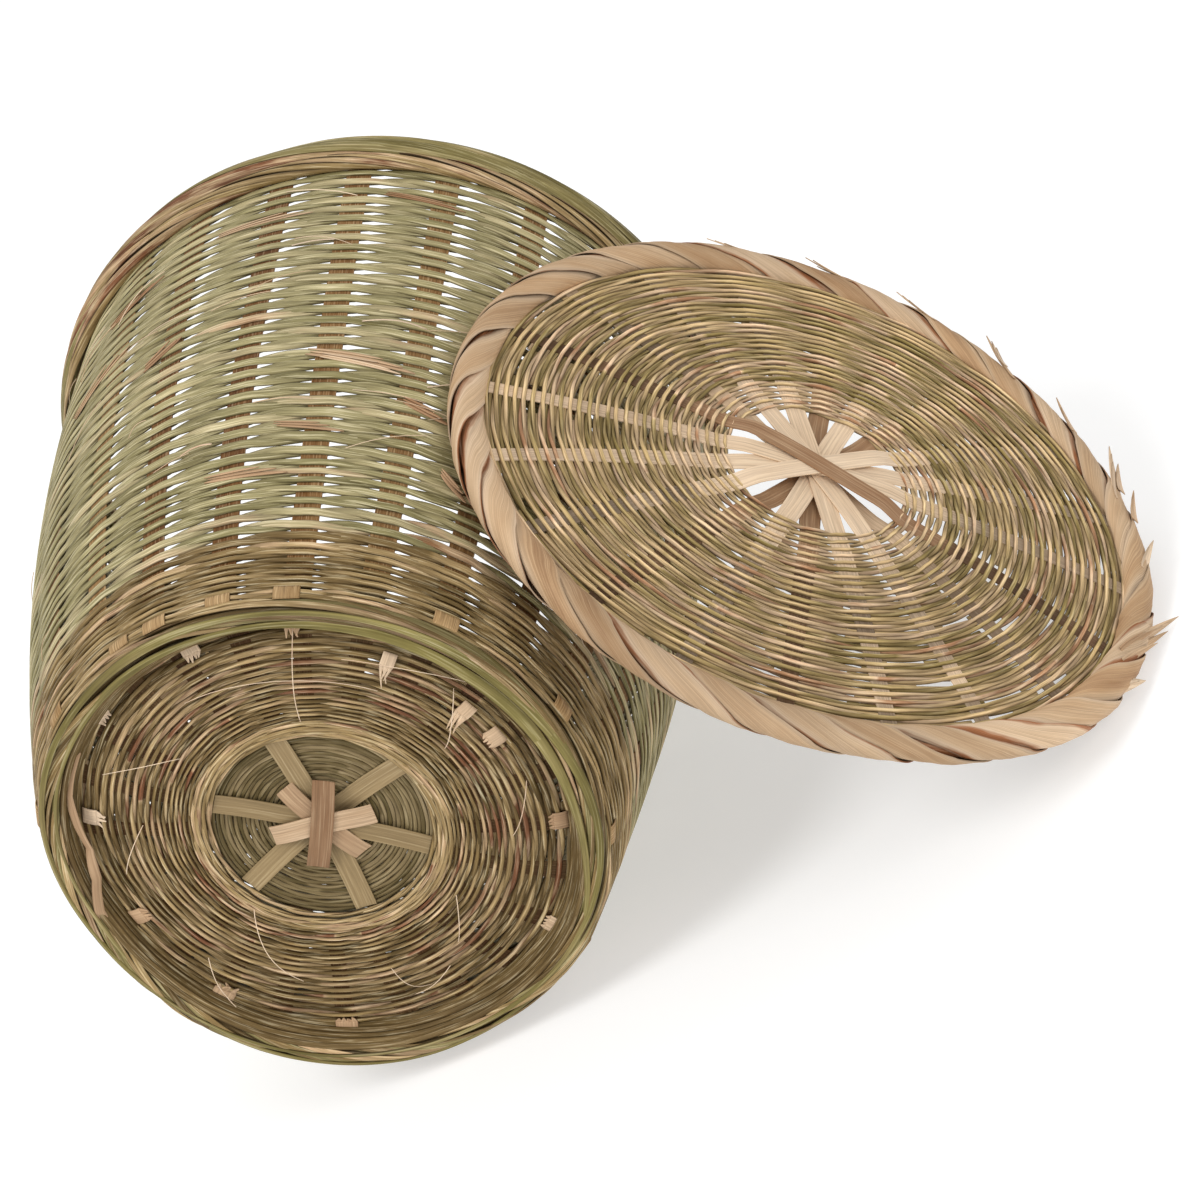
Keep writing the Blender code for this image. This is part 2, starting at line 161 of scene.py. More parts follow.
# Finishes. Every strand carries a tint: red holds its place on the colour ramp, green its brightness,
# which holds painted light and shade as well as differences in tone
greens = (
    (0, (128, 120, 76)), (0.25, (160, 150, 104)), (0.5, (180, 168, 122)), (0.75, (198, 182, 138)),
    (0.88, (208, 176, 138)), (1, (156, 114, 76)))
browns = (
    (0, (100, 82, 44)), (0.25, (134, 110, 68)), (0.5, (160, 134, 88)), (0.75, (186, 158, 112)),
    (0.88, (208, 174, 134)), (1, (140, 92, 62)))
straw = (
    (0, (146, 126, 72)), (0.25, (180, 156, 102)), (0.5, (206, 176, 124)), (0.75, (222, 190, 142)),
    (0.9, (236, 202, 164)), (1, (188, 140, 102)))
canes = (
    (0, (110, 100, 56)), (0.3, (146, 134, 82)), (0.6, (172, 158, 104)), (0.85, (200, 178, 128)),
    (1, (150, 112, 68)))
pales = (
    (0, (164, 124, 90)), (0.3, (202, 168, 132)), (0.6, (224, 196, 164)), (0.85, (234, 210, 182)),
    (1, (184, 128, 90)))
wraps = (
    (0, (158, 116, 80)), (0.3, (195, 158, 119)), (0.6, (216, 184, 148)), (0.85, (227, 198, 166)),
    (1, (172, 110, 70)))
stems = ((0, (96, 56, 24)), (0.35, (136, 94, 50)), (0.7, (170, 132, 84)), (1, (204, 168, 120)))
leaves = ((0, (116, 106, 54)), (0.5, (156, 144, 84)), (1, (194, 174, 120)))
olives = ((0, (93, 80, 47)), (0.5, (125, 108, 73)), (1, (152, 133, 98)))
greys = ((0, (146, 124, 88)), (0.5, (172, 148, 108)), (1, (192, 164, 124)))
# The colour that painted shade darkens towards, and the colour of the painted glints
shadow = (38, 20, 5)
light = (240, 228, 194)
# Each finish: its ramp, the depth of its streaks, painted glints and patches, its roughness and bump, and
# how fine its grain is along and across a strand
qualities = ("ramp", "streak", "glint", "patch", "rough", "bump", "along", "across")
finishes = {
    "weftGreen": (greens, 0.48, 0.55, 0.24, 0.5, 0.25, 0.5, 20),
    "weftBrown": (browns, 0.5, 0.4, 0.28, 0.52, 0.3, 0.6, 20),
    "weftLid": (straw, 0.48, 0.26, 0.3, 0.5, 0.3, 0.6, 20),
    "hubOlive": (olives, 0.34, 0.12, 0.28, 0.52, 0.3, 0.6, 20),
    "stakeTan": (stems, 0.5, 0.2, 0.3, 0.6, 0.4, 0.7, 20),
    "caneGreen": (canes, 0.44, 0.4, 0.3, 0.42, 0.25, 0.35, 16),
    "caneBright": (leaves, 0.4, 0.35, 0.3, 0.42, 0.25, 0.25, 12),
    "splintStraw": (pales, 0.26, 0.15, 0.14, 0.5, 0.3, 0.3, 15),
    "splintGrey": (greys, 0.26, 0.15, 0.14, 0.5, 0.3, 0.3, 15),
    "strawStrap": (wraps, 0.24, 0.14, 0.22, 0.5, 0.35, 0.16, 34),
}
# What all finishes share: detail and roughness of the two noises, and which span turns to streaks or to
# painted glints
grainLook = {
    "specular": 0.13, "bumpDepth": 0.0004,
    "fibres": (4, 0.62), "patches": (3, 0.55), "patchScale": (0.45, 2.2, 1), "patchShift": (7.3, 3.1, 0),
    "streakSpan": (0.3, 0.65), "brightest": 1.08, "glintSpan": (0.54, 0.7),
}
made = {}


def setInputs(node, values):
    for key, value in values.items():
        node.inputs[key].default_value = value
    return node


def finishOf(name):
    if name not in made:
        made[name] = bambooFinish(name, dict(zip(qualities, finishes[name])))
    return made[name]


# Fibres darken in streaks along the grain map and broad patches shift the colour; the tint's painted shade
# darkens towards the shadow colour, and painted glints of the highlight colour shine along the fibres
def bambooFinish(name, look):
    material = bpy.data.materials.new(name)
    material.use_nodes = True
    tree = material.node_tree
    shader = tree.nodes["Principled BSDF"]
    setInputs(shader, {"Roughness": look["rough"], "Specular IOR Level": grainLook["specular"]})

    def node(kind, **inputs):
        return setInputs(tree.nodes.new(kind), inputs)

    def join(source, output, target, socket):
        tree.links.new(source.outputs[output], target.inputs[socket])

    def noise(scale, shift, detail):
        mapping = node("ShaderNodeMapping", Scale=scale, Location=shift)
        texture = node("ShaderNodeTexNoise", Scale=1, Detail=detail[0], Roughness=detail[1])
        texture.noise_dimensions = "2D"
        join(grain, "UV", mapping, "Vector")
        join(mapping, "Vector", texture, "Vector")
        return texture

    def remap(texture, span, low, high):
        ends = dict(zip(("From Min", "From Max", "To Min", "To Max"), (*span, low, high)))
        new = setInputs(tree.nodes.new("ShaderNodeMapRange"), ends)
        join(texture, "Fac", new, "Value")
        return new

    def combine(operation, other, channel):
        new = tree.nodes.new("ShaderNodeMath")
        new.operation = operation
        join(other, "Result", new, 0)
        join(parts, channel, new, 1)
        return new

    def blend(amount):
        new = tree.nodes.new("ShaderNodeMix")
        new.data_type = "RGBA"
        join(amount, "Value", new, 0)
        return new

    grain = node("ShaderNodeUVMap")
    grain.uv_map = "grain"
    fibres = noise((look["along"], look["across"], 1), (0, 0, 0), grainLook["fibres"])
    patches = noise(grainLook["patchScale"], grainLook["patchShift"], grainLook["patches"])
    tint = node("ShaderNodeAttribute")
    tint.attribute_name = "tint"
    parts = node("ShaderNodeSeparateColor")
    join(tint, "Color", parts, "Color")

    tone = combine("ADD", remap(patches, (0, 1), -look["patch"], look["patch"]), "Red")
    tone.use_clamp = True
    ramp = node("ShaderNodeValToRGB")
    stops = ramp.color_ramp.elements
    for place, colour in look["ramp"][1:-1]:
        stops.new(place)
    for stop, (place, colour) in zip(stops, look["ramp"]):
        stop.position = place
        stop.color = srgb(*colour)
    join(tone, "Value", ramp, "Fac")

    streak = remap(fibres, grainLook["streakSpan"], 1 - look["streak"], grainLook["brightest"])
    shaded = blend(combine("MULTIPLY", streak, "Green"))
    shaded.clamp_factor = False
    shaded.inputs[6].default_value = srgb(*shadow)
    join(ramp, "Color", shaded, 7)
    # Painted glints: streaks of the highlight colour along the fibres, faded out where shade is painted
    shine = remap(fibres, grainLook["glintSpan"], 0, look["glint"])
    lit = blend(combine("MULTIPLY", shine, "Green"))
    lit.inputs[7].default_value = srgb(*light)
    join(shaded, 2, lit, 6)
    join(lit, 2, shader, "Base Color")

    bump = node("ShaderNodeBump", Strength=look["bump"], Distance=grainLook["bumpDepth"])
    join(fibres, "Fac", bump, "Height")
    join(bump, "Normal", shader, "Normal")
    return material


# Sections of a strand: across and outwards, each from -1 to 1, and a painted brightness: painted shade
# towards the edges and on the lower side, and on canes a light line near each edge, partly their pale
# split side and partly painted highlight
flatSection = (
    (-1, 0, 0.12), (-0.7, 0.85, 0.98), (0, 1, 1.06), (0.7, 0.85, 0.98), (1, 0, 0.12), (0.6, -0.9, 0.2),
    (-0.6, -0.9, 0.2))
weftSection = (
    (-1, 0, 0.34), (-0.66, 0.9, 1.05), (0.66, 0.9, 1.05), (1, 0, 0.34), (0.8, -0.6, 0.4), (0, -1, 0.86),
    (-0.8, -0.6, 0.4))
roundSection = (
    (-1, 0, 0.34), (-0.52, 0.86, 1.06), (0.52, 0.86, 1.06), (1, 0, 0.34), (0.84, -0.5, 0.34), (0, -1, 0.8),
    (-0.84, -0.5, 0.34))
caneSection = (
    (-1, 0, 0.3), (-0.84, 0.6, 1.12), (-0.3, 1, 0.96), (0.35, 1, 0.98), (0.84, 0.6, 1.1), (1, 0, 0.3),
    (0.7, -0.8, 0.25), (-0.7, -0.8, 0.25))
hairSection = ((-1, 0, 1), (0, 1, 1), (1, 0, 1), (0, -1, 1))
stripSection = (
    (-1, 0, 0.8), (-0.92, 1, 1), (0, 1.2, 1), (0.92, 1, 1), (1, 0, 0.8), (0.9, -1, 0.5), (-0.9, -1, 0.5))


# One strand: its middle line, the way it faces, its width and thickness, and its tint
def strand(points, out, width, thick, tone, shade, closed=True):
    points = np.asarray(points, float)
    if closed:
        ahead = np.roll(points, -1, axis=0) - np.roll(points, 1, axis=0)
    else:
        ahead = np.gradient(points, axis=0)
    side = unit(np.cross(out, ahead))
    out = unit(np.cross(ahead, side))
    ones = np.ones(len(points))
    return {"points": points, "side": side, "out": out, "width": width * ones, "thick": thick * ones,
            "tone": tone * ones, "shade": shade * ones, "closed": closed}


def openStrand(*facts):
    return strand(*facts, closed=False)


def settle(piece, owner, slot, *stoodFor):
    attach(piece, owner["body"])
    if stoodFor:
        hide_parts(*stoodFor)


def tintRows(tones, shades):
    return np.stack([tones, shades, 0 * tones, 1 + 0 * tones], axis=1)


# Links an object made of points in millimetres, faces, grain map and tint
def meshPiece(name, spots, faces, grain, tints, owner, finish):
    origin, axes = owner["place"]
    mesh = bpy.data.meshes.new(name)
    mesh.from_pydata((origin + spots * mm @ axes).tolist(), [], faces)
    mesh.uv_layers.new(name="grain").data.foreach_set("uv", grain.ravel())
    mesh.attributes.new("tint", "FLOAT_COLOR", "POINT").data.foreach_set("color", tints.ravel())
    mesh.materials.append(finishOf(finish))
    piece = bpy.data.objects.new(name, mesh)
    bpy.context.scene.collection.objects.link(piece)
    return piece


# The corners of each quad of a tube: steps along it, the same wrapped round at its end, and sides
def tubeGrid(rings, runs, corners):
    here, edge = np.divmod(np.arange(runs * corners), corners)
    steps = np.stack([here, here + 1, here + 1, here], axis=1)
    sides = np.stack([edge, edge, edge + 1, edge + 1], axis=1) % corners
    return steps, steps % rings, sides


# Makes one object of many strands, with their grain map and tint, and settles it on its body
def strandPiece(name, strands, section, owner, finish, slot, *nodes):
    across, proud, lights = np.array(section, float).T
    count = len(section)
    places, faces, grain, tints = [], [], [], []
    start = 0
    for index, line in enumerate(strands):
        size = len(line["points"])
        half = across[None, :, None] * line["side"][:, None, :] * line["width"][:, None, None] / 2
        lift = proud[None, :, None] * line["out"][:, None, :] * line["thick"][:, None, None] / 2
        places.append((line["points"][:, None, :] + half + lift).reshape(-1, 3))
        gaps = np.linalg.norm(np.diff(line["points"], axis=0, append=line["points"][:1]), axis=1)
        along = np.concatenate([[0], np.cumsum(gaps)]) / 10
        spread = across[None, :] * line["width"][:, None] / 20 + 1.7 * index
        steps, rings, sides = tubeGrid(size, size if line["closed"] else size - 1, count)
        faces += (rings * count + sides + start).tolist()
        grain.append(np.stack([along[steps], spread[rings, sides]], axis=2).reshape(-1, 2))
        if not line["closed"]:
            last = start + (size - 1) * count
            faces.append([start + k for k in range(count)])
            faces.append([last + k for k in reversed(range(count))])
            grain.append(np.stack([np.zeros(count), spread[0]], axis=1))
            grain.append(np.stack([np.full(count, along[size - 1]), spread[-1][::-1]], axis=1))
        tints.append(tintRows(np.repeat(line["tone"], count), np.outer(line["shade"], lights).ravel()))
        start += size * count
    piece = meshPiece(name, np.concatenate(places), faces, np.concatenate(grain), np.concatenate(tints),
                      owner, finish)
    piece.data.polygons.foreach_set("use_smooth", np.ones(len(faces), bool))
    settle(piece, owner, slot, *nodes)


def pickOnly(piece):
    for thing in list(bpy.context.selected_objects):
        thing.select_set(False)
    piece.select_set(True)
    bpy.context.view_layer.objects.active = piece


def readRows(rows, key, width):
    values = np.empty(width * len(rows))
    rows.foreach_get(key, values)
    return values.reshape(-1, width)


# Steps across a splint, its bevel as a share of its thickness, and angles in degrees
splintLook = {"across": 4, "bevel": 0.22, "bevelFrom": 60, "smooth": 40, "grainStep": 0.83}


# A flat splint from a grid primitive: shape(along, across) gives its middle surface in millimetres,
# shade its brightness along it, which holds painted shade, and the last argument the brightness of its
# inner face, where it differs
def splintPiece(name, size, steps, shape, owner, finish, tone, shade, backShade=0):
    length, width, thick = size
    origin, axes = owner["place"]
    bpy.ops.mesh.primitive_grid_add(x_subdivisions=steps, y_subdivisions=splintLook["across"], size=1)
    piece = bpy.context.object
    pickOnly(piece)
    piece.name = name
    mesh = piece.data
    along, across = readRows(mesh.vertices, "co", 3)[:, :2].T
    spots = shape(along * length, across * width)
    tint = mesh.attributes.new("tint", "FLOAT_COLOR", "POINT")
    tint.data.foreach_set("color", tintRows(tone + 0 * along, shade(along)).ravel())
    mesh.vertices.foreach_set("co", (origin + spots * mm @ axes).ravel())
    layer = mesh.uv_layers[0]
    layer.name = "grain"
    offset = (sum(map(ord, name)) % 97) * splintLook["grainStep"]
    flat = readRows(layer.data, "uv", 2) * (length / 10, width / 10) + offset
    layer.data.foreach_set("uv", flat.ravel())
    wall = piece.modifiers.new("thickness", "SOLIDIFY")
    wall.thickness = thick * mm
    wall.offset = 0
    bpy.ops.object.modifier_apply(modifier=wall.name)
    if backShade:
        tints = readRows(mesh.attributes["tint"].data, "color", 4)
        tints[:len(tints) // 2, 1] = backShade
        mesh.attributes["tint"].data.foreach_set("color", tints.ravel())
    edge = piece.modifiers.new("edge", "BEVEL")
    edge.width = thick * splintLook["bevel"] * mm
    edge.limit_method = "ANGLE"
    edge.angle_limit = math.radians(splintLook["bevelFrom"])
    bpy.ops.object.modifier_apply(modifier=edge.name)
    mesh.materials.append(finishOf(finish))
    bpy.ops.object.shade_smooth_by_angle(angle=math.radians(splintLook["smooth"]))
    return piece


# The wall's outside as height and radius, and how far up and down its rings' unevenness reaches
wall = {
    "profile": ((10.2, 90.5), (47, 99), (106, 108), (177, 112.4), (224.6, 111.4)),
    "middle": 1, "top": 224.6, "footReach": 75, "rimFrom": 130, "rimReach": 95, "fade": 1.5,
}
upright = {"stakes": 24, "phase": -2.7}  # how many stakes, and the direction of the first
wallCurve = np.polyfit(*zip(*wall["profile"]), 4)
# What changes round the rings, as direction and value: how far the foot, the rim and the lid's border
# are out of round, the painted light and shade on the border, and how thick the border is
uneven = {
    "foot": (
        (-180, -1.6), (-170, -1.7), (-160, -0.3), (-140, 0.3), (-100, -0.3), (-64, -1.2), (-20, -0.3),
        (10, 0.6), (30, 1.2), (40, 2.4), (50, 4), (60, 4.8), (80, 5.4), (100, 6.4), (110, 7.1), (120, 6),
        (130, 5.7), (140, 4.5), (150, 2.1), (160, 0.9), (170, -1.2)),
    "rim": (
        (-160, 0), (-140, 0.8), (-100, 1.1), (-80, 1.5), (-70, 2.1), (-60, 2.7), (-30, 2.8), (-10, 2),
        (20, 0), (180, 0)),
    "border": (
        (-180, -2), (-150, -2), (-120, -1), (-90, -0.2), (-70, -2), (-50, -1.6), (-40, -0.6), (-29, 0.2),
        (-19, -0.2), (-9, -1.8), (10, -3.2), (30, -4.4), (58, -5.4), (75, -4), (90, -2.6), (110, -2.4),
        (120, 0.2), (132, -0.8), (150, -1)),
    "borderShade": (
        (-180, 1.05), (-135, 0.96), (-110, 0.79), (-85, 0.8), (-62, 0.94), (-35, 1.04), (0, 0.98),
        (90, 0.97), (150, 1.04)),
    "borderSize": (
        (-180, 1), (-60, 1), (-29, 1.14), (-19, 1.08), (20, 0.84), (70, 0.84), (110, 0.92), (150, 1)),
}


def squeeze(turn, height):
    low = np.clip(1 - height / wall["footReach"], 0, 1) ** wall["fade"]
    high = np.clip((height - wall["rimFrom"]) / wall["rimReach"], 0, 1) ** wall["fade"]
    return smoothed(uneven["foot"], turn) * low + smoothed(uneven["rim"], turn) * high


# Two wefts twined round the stakes. A row's local list gives a direction, how far from it the change
# reaches, how much thinner the row is there and how much painted light it takes, painted shade where
# below zero. surface(at, proud, turn) gives the points at a height or radius, standing proud of the
# weave's middle, and the way they face
def twinedRow(surface, at, row, dice):
    turn = roundTurns(row["stakes"] * row["steps"])
    beat = (turn - math.radians(row["phase"])) * row["stakes"] / full * math.pi
    drift = ripple(turn, dice, (2, 3, 5, 9), row["wobble"])
    pair = []
    for way in (1, -1):
        own = ripple(turn, dice, (4, 7, 11, 16), row["wobble"] * 0.6)
        proud = way * row["lift"] * np.cos(beat)
        past = 2 * np.abs((beat / math.pi + 0.5) % 1 - 0.5)
        bent = np.clip((past - row["straight"]) / (1 - row["straight"]), 0, 1)
        swing = np.sign(np.sin(beat)) * np.sin(bent * math.pi / 2) ** row["snap"]
        aside = -way * row["sway"] * swing * row.get("slant", 1) + drift + own
        points, out = surface(at + aside, proud, turn)
        wide = row["width"] * (1 + ripple(turn, dice, (3, 5, 8, 13), 0.12)) * dice.uniform(0.9, 1.1)
        tone, shade = row["tint"](turn, dice)
        # Painted shade: a weft is darker where it passes behind a stake, and painted light and shade band the
        # rows, lighter over the stakes and darker between them
        shade = shade * (1 - row["backShade"] * (1 - way * np.cos(beat)))
        shade = shade * (1 + row["reliefShade"] * np.cos(2 * beat))
        for place, reach, slim, bright in row["local"]:
            close = nearness(turn, place, reach)
            wide = wide * (1 - slim * close)
            shade = shade * (1 + bright * close)
        pair.append(strand(points, out, wide, row["thick"], tone, shade))
    return pair


# Thin strands deep between the rows, in lengths with openings between them; where their shades are low
# they are painted shade in the gaps
deepLook = {"gap": 0.08, "shortest": 0.3, "steps": 20, "sunk": -0.2, "thick": 0.5, "tones": (0.1, 0.9)}


def deepStrands(surface, places, deep, dice):
    lines = []
    gap = deepLook["gap"]
    for place in places:
        cuts = sorted(dice.uniform(0, full) for k in range(deep["openings"]))
        for begin, end in zip(cuts, cuts[1:] + [cuts[0] + full]):
            if end - begin > deepLook["shortest"]:
                turn = np.linspace(begin + gap, end - gap, max(int((end - begin) * deepLook["steps"]), 4))
                points, out = surface(place + 0 * turn, deepLook["sunk"] + 0 * turn, turn)
                shade = dice.uniform(*deep["shades"]) * (1 + ripple(turn, dice, (5, 12, 23), 0.14))
                tone = dice.uniform(*deepLook["tones"])
                lines.append(openStrand(points, out, deep["width"], deepLook["thick"], tone, shade))
    return lines


def onWall(height, proud, turn):
    radius = np.polyval(wallCurve, height) - wall["middle"] + squeeze(turn, height)
    return raised(radius, turn, height, 1, -np.polyval(np.polyder(wallCurve), height), proud)


# A weft's colour changes where one splint ends and the next is laid in
def splicedTint(mix, spread, shades, splices=4):
    def tint(turn, dice):
        tones = [dice.choice(mix) + dice.uniform(-spread, spread) for k in range(splices)]
        cuts = sorted(dice.uniform(0, full) for k in range(splices))
        tone = np.select([turn < cut for cut in cuts], tones, tones[0])
        tone = np.clip(tone + ripple(turn, dice, (3, 7, 13), 0.1), 0.02, 0.98)
        shade = dice.uniform(*shades) * (1 + ripple(turn, dice, (2, 5, 12, 23), 0.1))
        return tone, shade
    return tint


# Wall: the rows' heights, and their width, lift and thickness by height. Local changes of width and of
# painted light and shade hold between two heights. The pieces run from the top down: the height each
# starts above, its name and its colours
wallRows = {
    "heights": [223.4] + [219.0 - 5.9 * k for k in range(27)] + [
        60.4, 56.5, 52.6, 48.6, 43.8, 38.8, 33.8, 29.2, 25.4, 22.4, 19.8, 17.3, 14.8, 12.4, 10, 7.6, 5.4],
    "stray": 0.3, "sway": 0.2,
    "width": ((28, 36, 56, 62, 95, 120), (0.72, 0.69, 0.71, 0.75, 0.75, 0.7)),
    "lift": ((25, 34, 60), (0.5, 0.32, 0.35)),
    "thick": ((25, 34, 60), (1.3, 0.85, 0.9)),
    "weft": {**upright, "steps": 12, "wobble": 0.25, "straight": 0.26, "snap": 1.1, "backShade": 0.2,
             "reliefShade": 0},
    # Painted shade low on the wall round -24 and -22 degrees, painted light round 20 and -172 degrees
    "local": ((30, 64, -24, 26, 0.06, -0.06), (64, 112, -22, 30, -0.1, -0.04), (0, 130, 20, 26, 0.26, 0.34),
              (40, 224, -172, 34, 0.05, 0.08)),
    "pieces": ((213, "neck_wefts", "upper"), (150, "wall_wefts_upper", "upper"),
               (90, "wall_wefts_middle", "middle"), (40, "wall_wefts_lower", "middle"),
               (31, "wall_wefts_lower", "lower"), (0, "foot_band_wefts", "lower")),
    "upper": splicedTint((0.2, 0.3, 0.34, 0.4, 0.45, 0.5, 0.62), 0.06, (0.92, 1.1)),
    "middle": splicedTint((0.18, 0.26, 0.3, 0.36, 0.42, 0.46, 0.7), 0.06, (0.93, 1.11)),
    "lower": splicedTint((0.2, 0.3, 0.4, 0.5, 0.62, 0.7, 0.8), 0.06, (0.84, 1.07)),
}


def makeWall():
    dice = random.Random(11)
    places = wallRows["heights"]
    groups = {name: [] for low, name, mix in wallRows["pieces"]}
    for k, height in enumerate(places):
        above, below = places[max(k - 1, 0)], places[min(k + 1, len(places) - 1)]
        pitch = (above - below) / (2 if 0 < k < len(places) - 1 else 1)
        name, mix = next(row[1:] for row in wallRows["pieces"] if height > row[0])
        width, lift, thick = [np.interp(height, *wallRows[size]) for size in ("width", "lift", "thick")]
        weft = dict(wallRows["weft"], width=pitch * width, sway=pitch * wallRows["sway"], lift=lift,
                    thick=thick, tint=wallRows[mix])
        weft["local"] = [spot[2:] for spot in wallRows["local"] if spot[0] < height < spot[1]]
        stray = dice.uniform(-wallRows["stray"], wallRows["stray"])
        groups[name] += twinedRow(onWall, height + stray, weft, dice)
    band = groups.pop("foot_band_wefts")
    for name, strands in groups.items():
        node = "wall_neck_band" if name == "neck_wefts" else "wall_weave"
        strandPiece(name, strands, weftSection, basket, "weftGreen", "green_weave", node)
    strandPiece("foot_band_wefts", band, weftSection, basket, "weftBrown", "tan_weave", "wall_lower_band")


makeWall()
print("wall wefts made")

# Base: recessed weave, seen from under the foot. Its line gives radius and height, its edge the strands
# between the weave and the foot ring
base = {
    "line": ((36, 5.9), (47, 5.3), (60, 5.4), (70, 6.9), (77, 8.9)),
    "inner": 41.5, "outer": 76.6, "rows": 18, "pitch": (1.45, 3), "width": (0.6, 0.76), "sway": 0.17,
    "follows": (40, 45),
    "weft": {**upright, "steps": 6, "lift": 0.45, "thick": 1.3, "wobble": 0.2, "slant": -1,
             "straight": 0.2, "snap": 1, "backShade": 0.2, "reliefShade": 0.1, "local": ()},
    "tint": splicedTint((0.1, 0.2, 0.3, 0.42, 0.5, 0.6, 0.7, 0.84, 0.97), 0.07, (0.7, 1.06), 7),
    # The deep strands and the edge strands are dark: painted shade standing for the shadow in the gaps
    "deep": {"width": 1.7, "openings": 5, "shades": (0.3, 0.6)},
    "edge": {"width": 2.2, "openings": 1, "shades": (0.3, 0.3)}, "edgeRadii": (78, 79.6),
}
baseCurve = np.polyfit(*zip(*base["line"]), 3)


# How much of the foot's unevenness a radius on the base takes on
def share(radius):
    first, reach = base["follows"]
    return np.clip((radius - first) / reach, 0, 1) ** 2


def onBase(radius, proud, turn):
    height, slope = np.polyval(baseCurve, radius), np.polyval(np.polyder(baseCurve), radius)
    return raised(radius + squeeze(turn, 0) * share(radius), turn, height, slope, -1, proud)


def makeBase():
    dice = random.Random(23)
    steps = np.linspace(*base["pitch"], base["rows"])
    grown = (np.cumsum(steps) - steps[0]) / steps[1:].sum()
    radii = base["inner"] + grown * (base["outer"] - base["inner"])
    strands = []
    for radius, pitch in zip(radii, np.gradient(radii)):
        weft = dict(base["weft"], width=pitch * dice.uniform(*base["width"]), sway=pitch * base["sway"],
                    tint=base["tint"])
        strands += twinedRow(onBase, radius, weft, dice)
    strands += deepStrands(onBase, (radii[1:] + radii[:-1]) / 2, base["deep"], dice)
    strands += deepStrands(onBase, base["edgeRadii"], base["edge"], dice)
    strandPiece("base_wefts", strands, roundSection, basket, "weftBrown", "brown_weave", "base_weave")


makeBase()

# Hub: fine rows inside, a bundle of tan strands round them, and splints that cross
hub = {
    "depth": (11.4, 7.9), "radius": 34.6, "steps": 120,
    "rings": 22, "innerRing": 6.5, "outerRing": 34.4, "ringWave": 0.25, "ringThick": 1.1,
    "ringTint": splicedTint((0.1, 0.2, 0.35, 0.5, 0.65, 0.9), 0.05, (0.86, 1.02)),
    "binding": ((35.6, 6.4), (37.2, 5.2), (38.8, 4.9), (40.3, 5.3)), "bindWidth": 1.5, "bindThick": 0.8,
    "bindWave": 0.35, "bindTurns": 9, "bindTint": splicedTint((0.55, 0.66, 0.72, 0.8), 0.05, (0.85, 1.08)),
    "long": (165, 98, 41.6), "longLength": 69, "longTones": (0.1, 0.5), "longShade": 0.86,
    "cross": (75.1, 12.6, 125.7), "crossLength": 34, "crossLooks": ((0.26, 0.76), (0.4, 0.84), (0.06, 0.66)),
    "width": 7.2, "thick": 0.5, "splintSteps": 24, "level": 0.8, "flat": 13, "crown": 0.25,
    "bow": 0.8, "tuck": 1.6,
}


def hubFloor(radius):
    centre, edge = hub["depth"]
    return centre - (centre - edge) * np.minimum(radius / hub["radius"], 1) ** 2


def makeHub():
    dice = random.Random(31)
    turn = roundTurns(hub["steps"])
    pitch = (hub["outerRing"] - hub["innerRing"]) / (hub["rings"] - 1)
    down = np.tile((0, 0, -1), (hub["steps"], 1))
    strands = []
    for k in range(hub["rings"]):
        radius = hub["innerRing"] + k * pitch + ripple(turn, dice, (2, 3, 6), 0.12)
        height = hubFloor(radius) + hub["ringWave"] * np.cos(turn * 12 + (k % 2) * math.pi)
        tone, shade = hub["ringTint"](turn, dice)
        strands.append(strand(polar(radius, turn, height), down, pitch * 1.1, hub["ringThick"], tone, shade))
    strandPiece("hub_rings", strands, weftSection, basket, "hubOlive", "fine_green_weave", "hub_disc")
    strands = []
    down = unit(polar(0 * turn + 0.15, turn, -1))
    for k, (middle, height) in enumerate(hub["binding"]):
        for half in (0, 1):
            wind = turn * hub["bindTurns"] + k * 2.1 + half * math.pi
            radius = middle + hub["bindWave"] * np.cos(wind) + ripple(turn, dice, (2, 3), 0.2)
            points = polar(radius, turn, height + hub["bindWave"] * np.sin(wind))
            tone, shade = hub["bindTint"](turn, dice)
            strands.append(strand(points, down, hub["bindWidth"], hub["bindThick"], tone, shade))
    strandPiece("hub_binding_strands", strands, flatSection, basket, "weftBrown", "tan_weave", "hub_binding")
    for kind, slot in (("long", "grey_splint"), ("cross", "pale_splint")):
        for k, angle in enumerate(hub[kind]):
            piece = hubSplint(f"hub_{kind}_strip_{k + 1}", math.radians(angle), k, kind, dice)
            settle(piece, basket, slot, f"hub_{kind}_splint_{k + 1}")


# The long splints lie in one pile at the middle, and the cross splints over them, seen from below
def hubSplint(name, angle, k, kind, dice):
    length = hub[kind + "Length"]
    bow = dice.uniform(-hub["bow"], hub["bow"])
    pile = (k + 1 if kind == "long" else k + 4) * hub["level"]

    def shape(along, across):
        if kind == "long":
            rest = np.clip((np.abs(along) - hub["flat"]) / (length / 2 - hub["flat"]), 0, 1)
            drop = pile + (hub["level"] - pile) * rest
        else:
            drop = pile - hub["tuck"] * np.clip((np.abs(along) / (length / 2)) ** 4, 0, 1)
        height = hubFloor(np.abs(along)) - drop - hub["crown"] * (across / hub["width"] * 2) ** 2
        sideways = across + bow * (along / length * 2) ** 2
        return laid(along, sideways, angle, height)

    if kind == "long":
        finish, tone, bright = "splintGrey", dice.uniform(*hub["longTones"]), hub["longShade"]
    else:
        finish, (tone, bright) = "splintStraw", hub["crossLooks"][k]
    return splintPiece(name, (length, hub["width"], hub["thick"]), hub["splintSteps"], shape, basket, finish,
                       tone, lambda along: bright + 0 * along)


makeHub()
print("base and hub made")

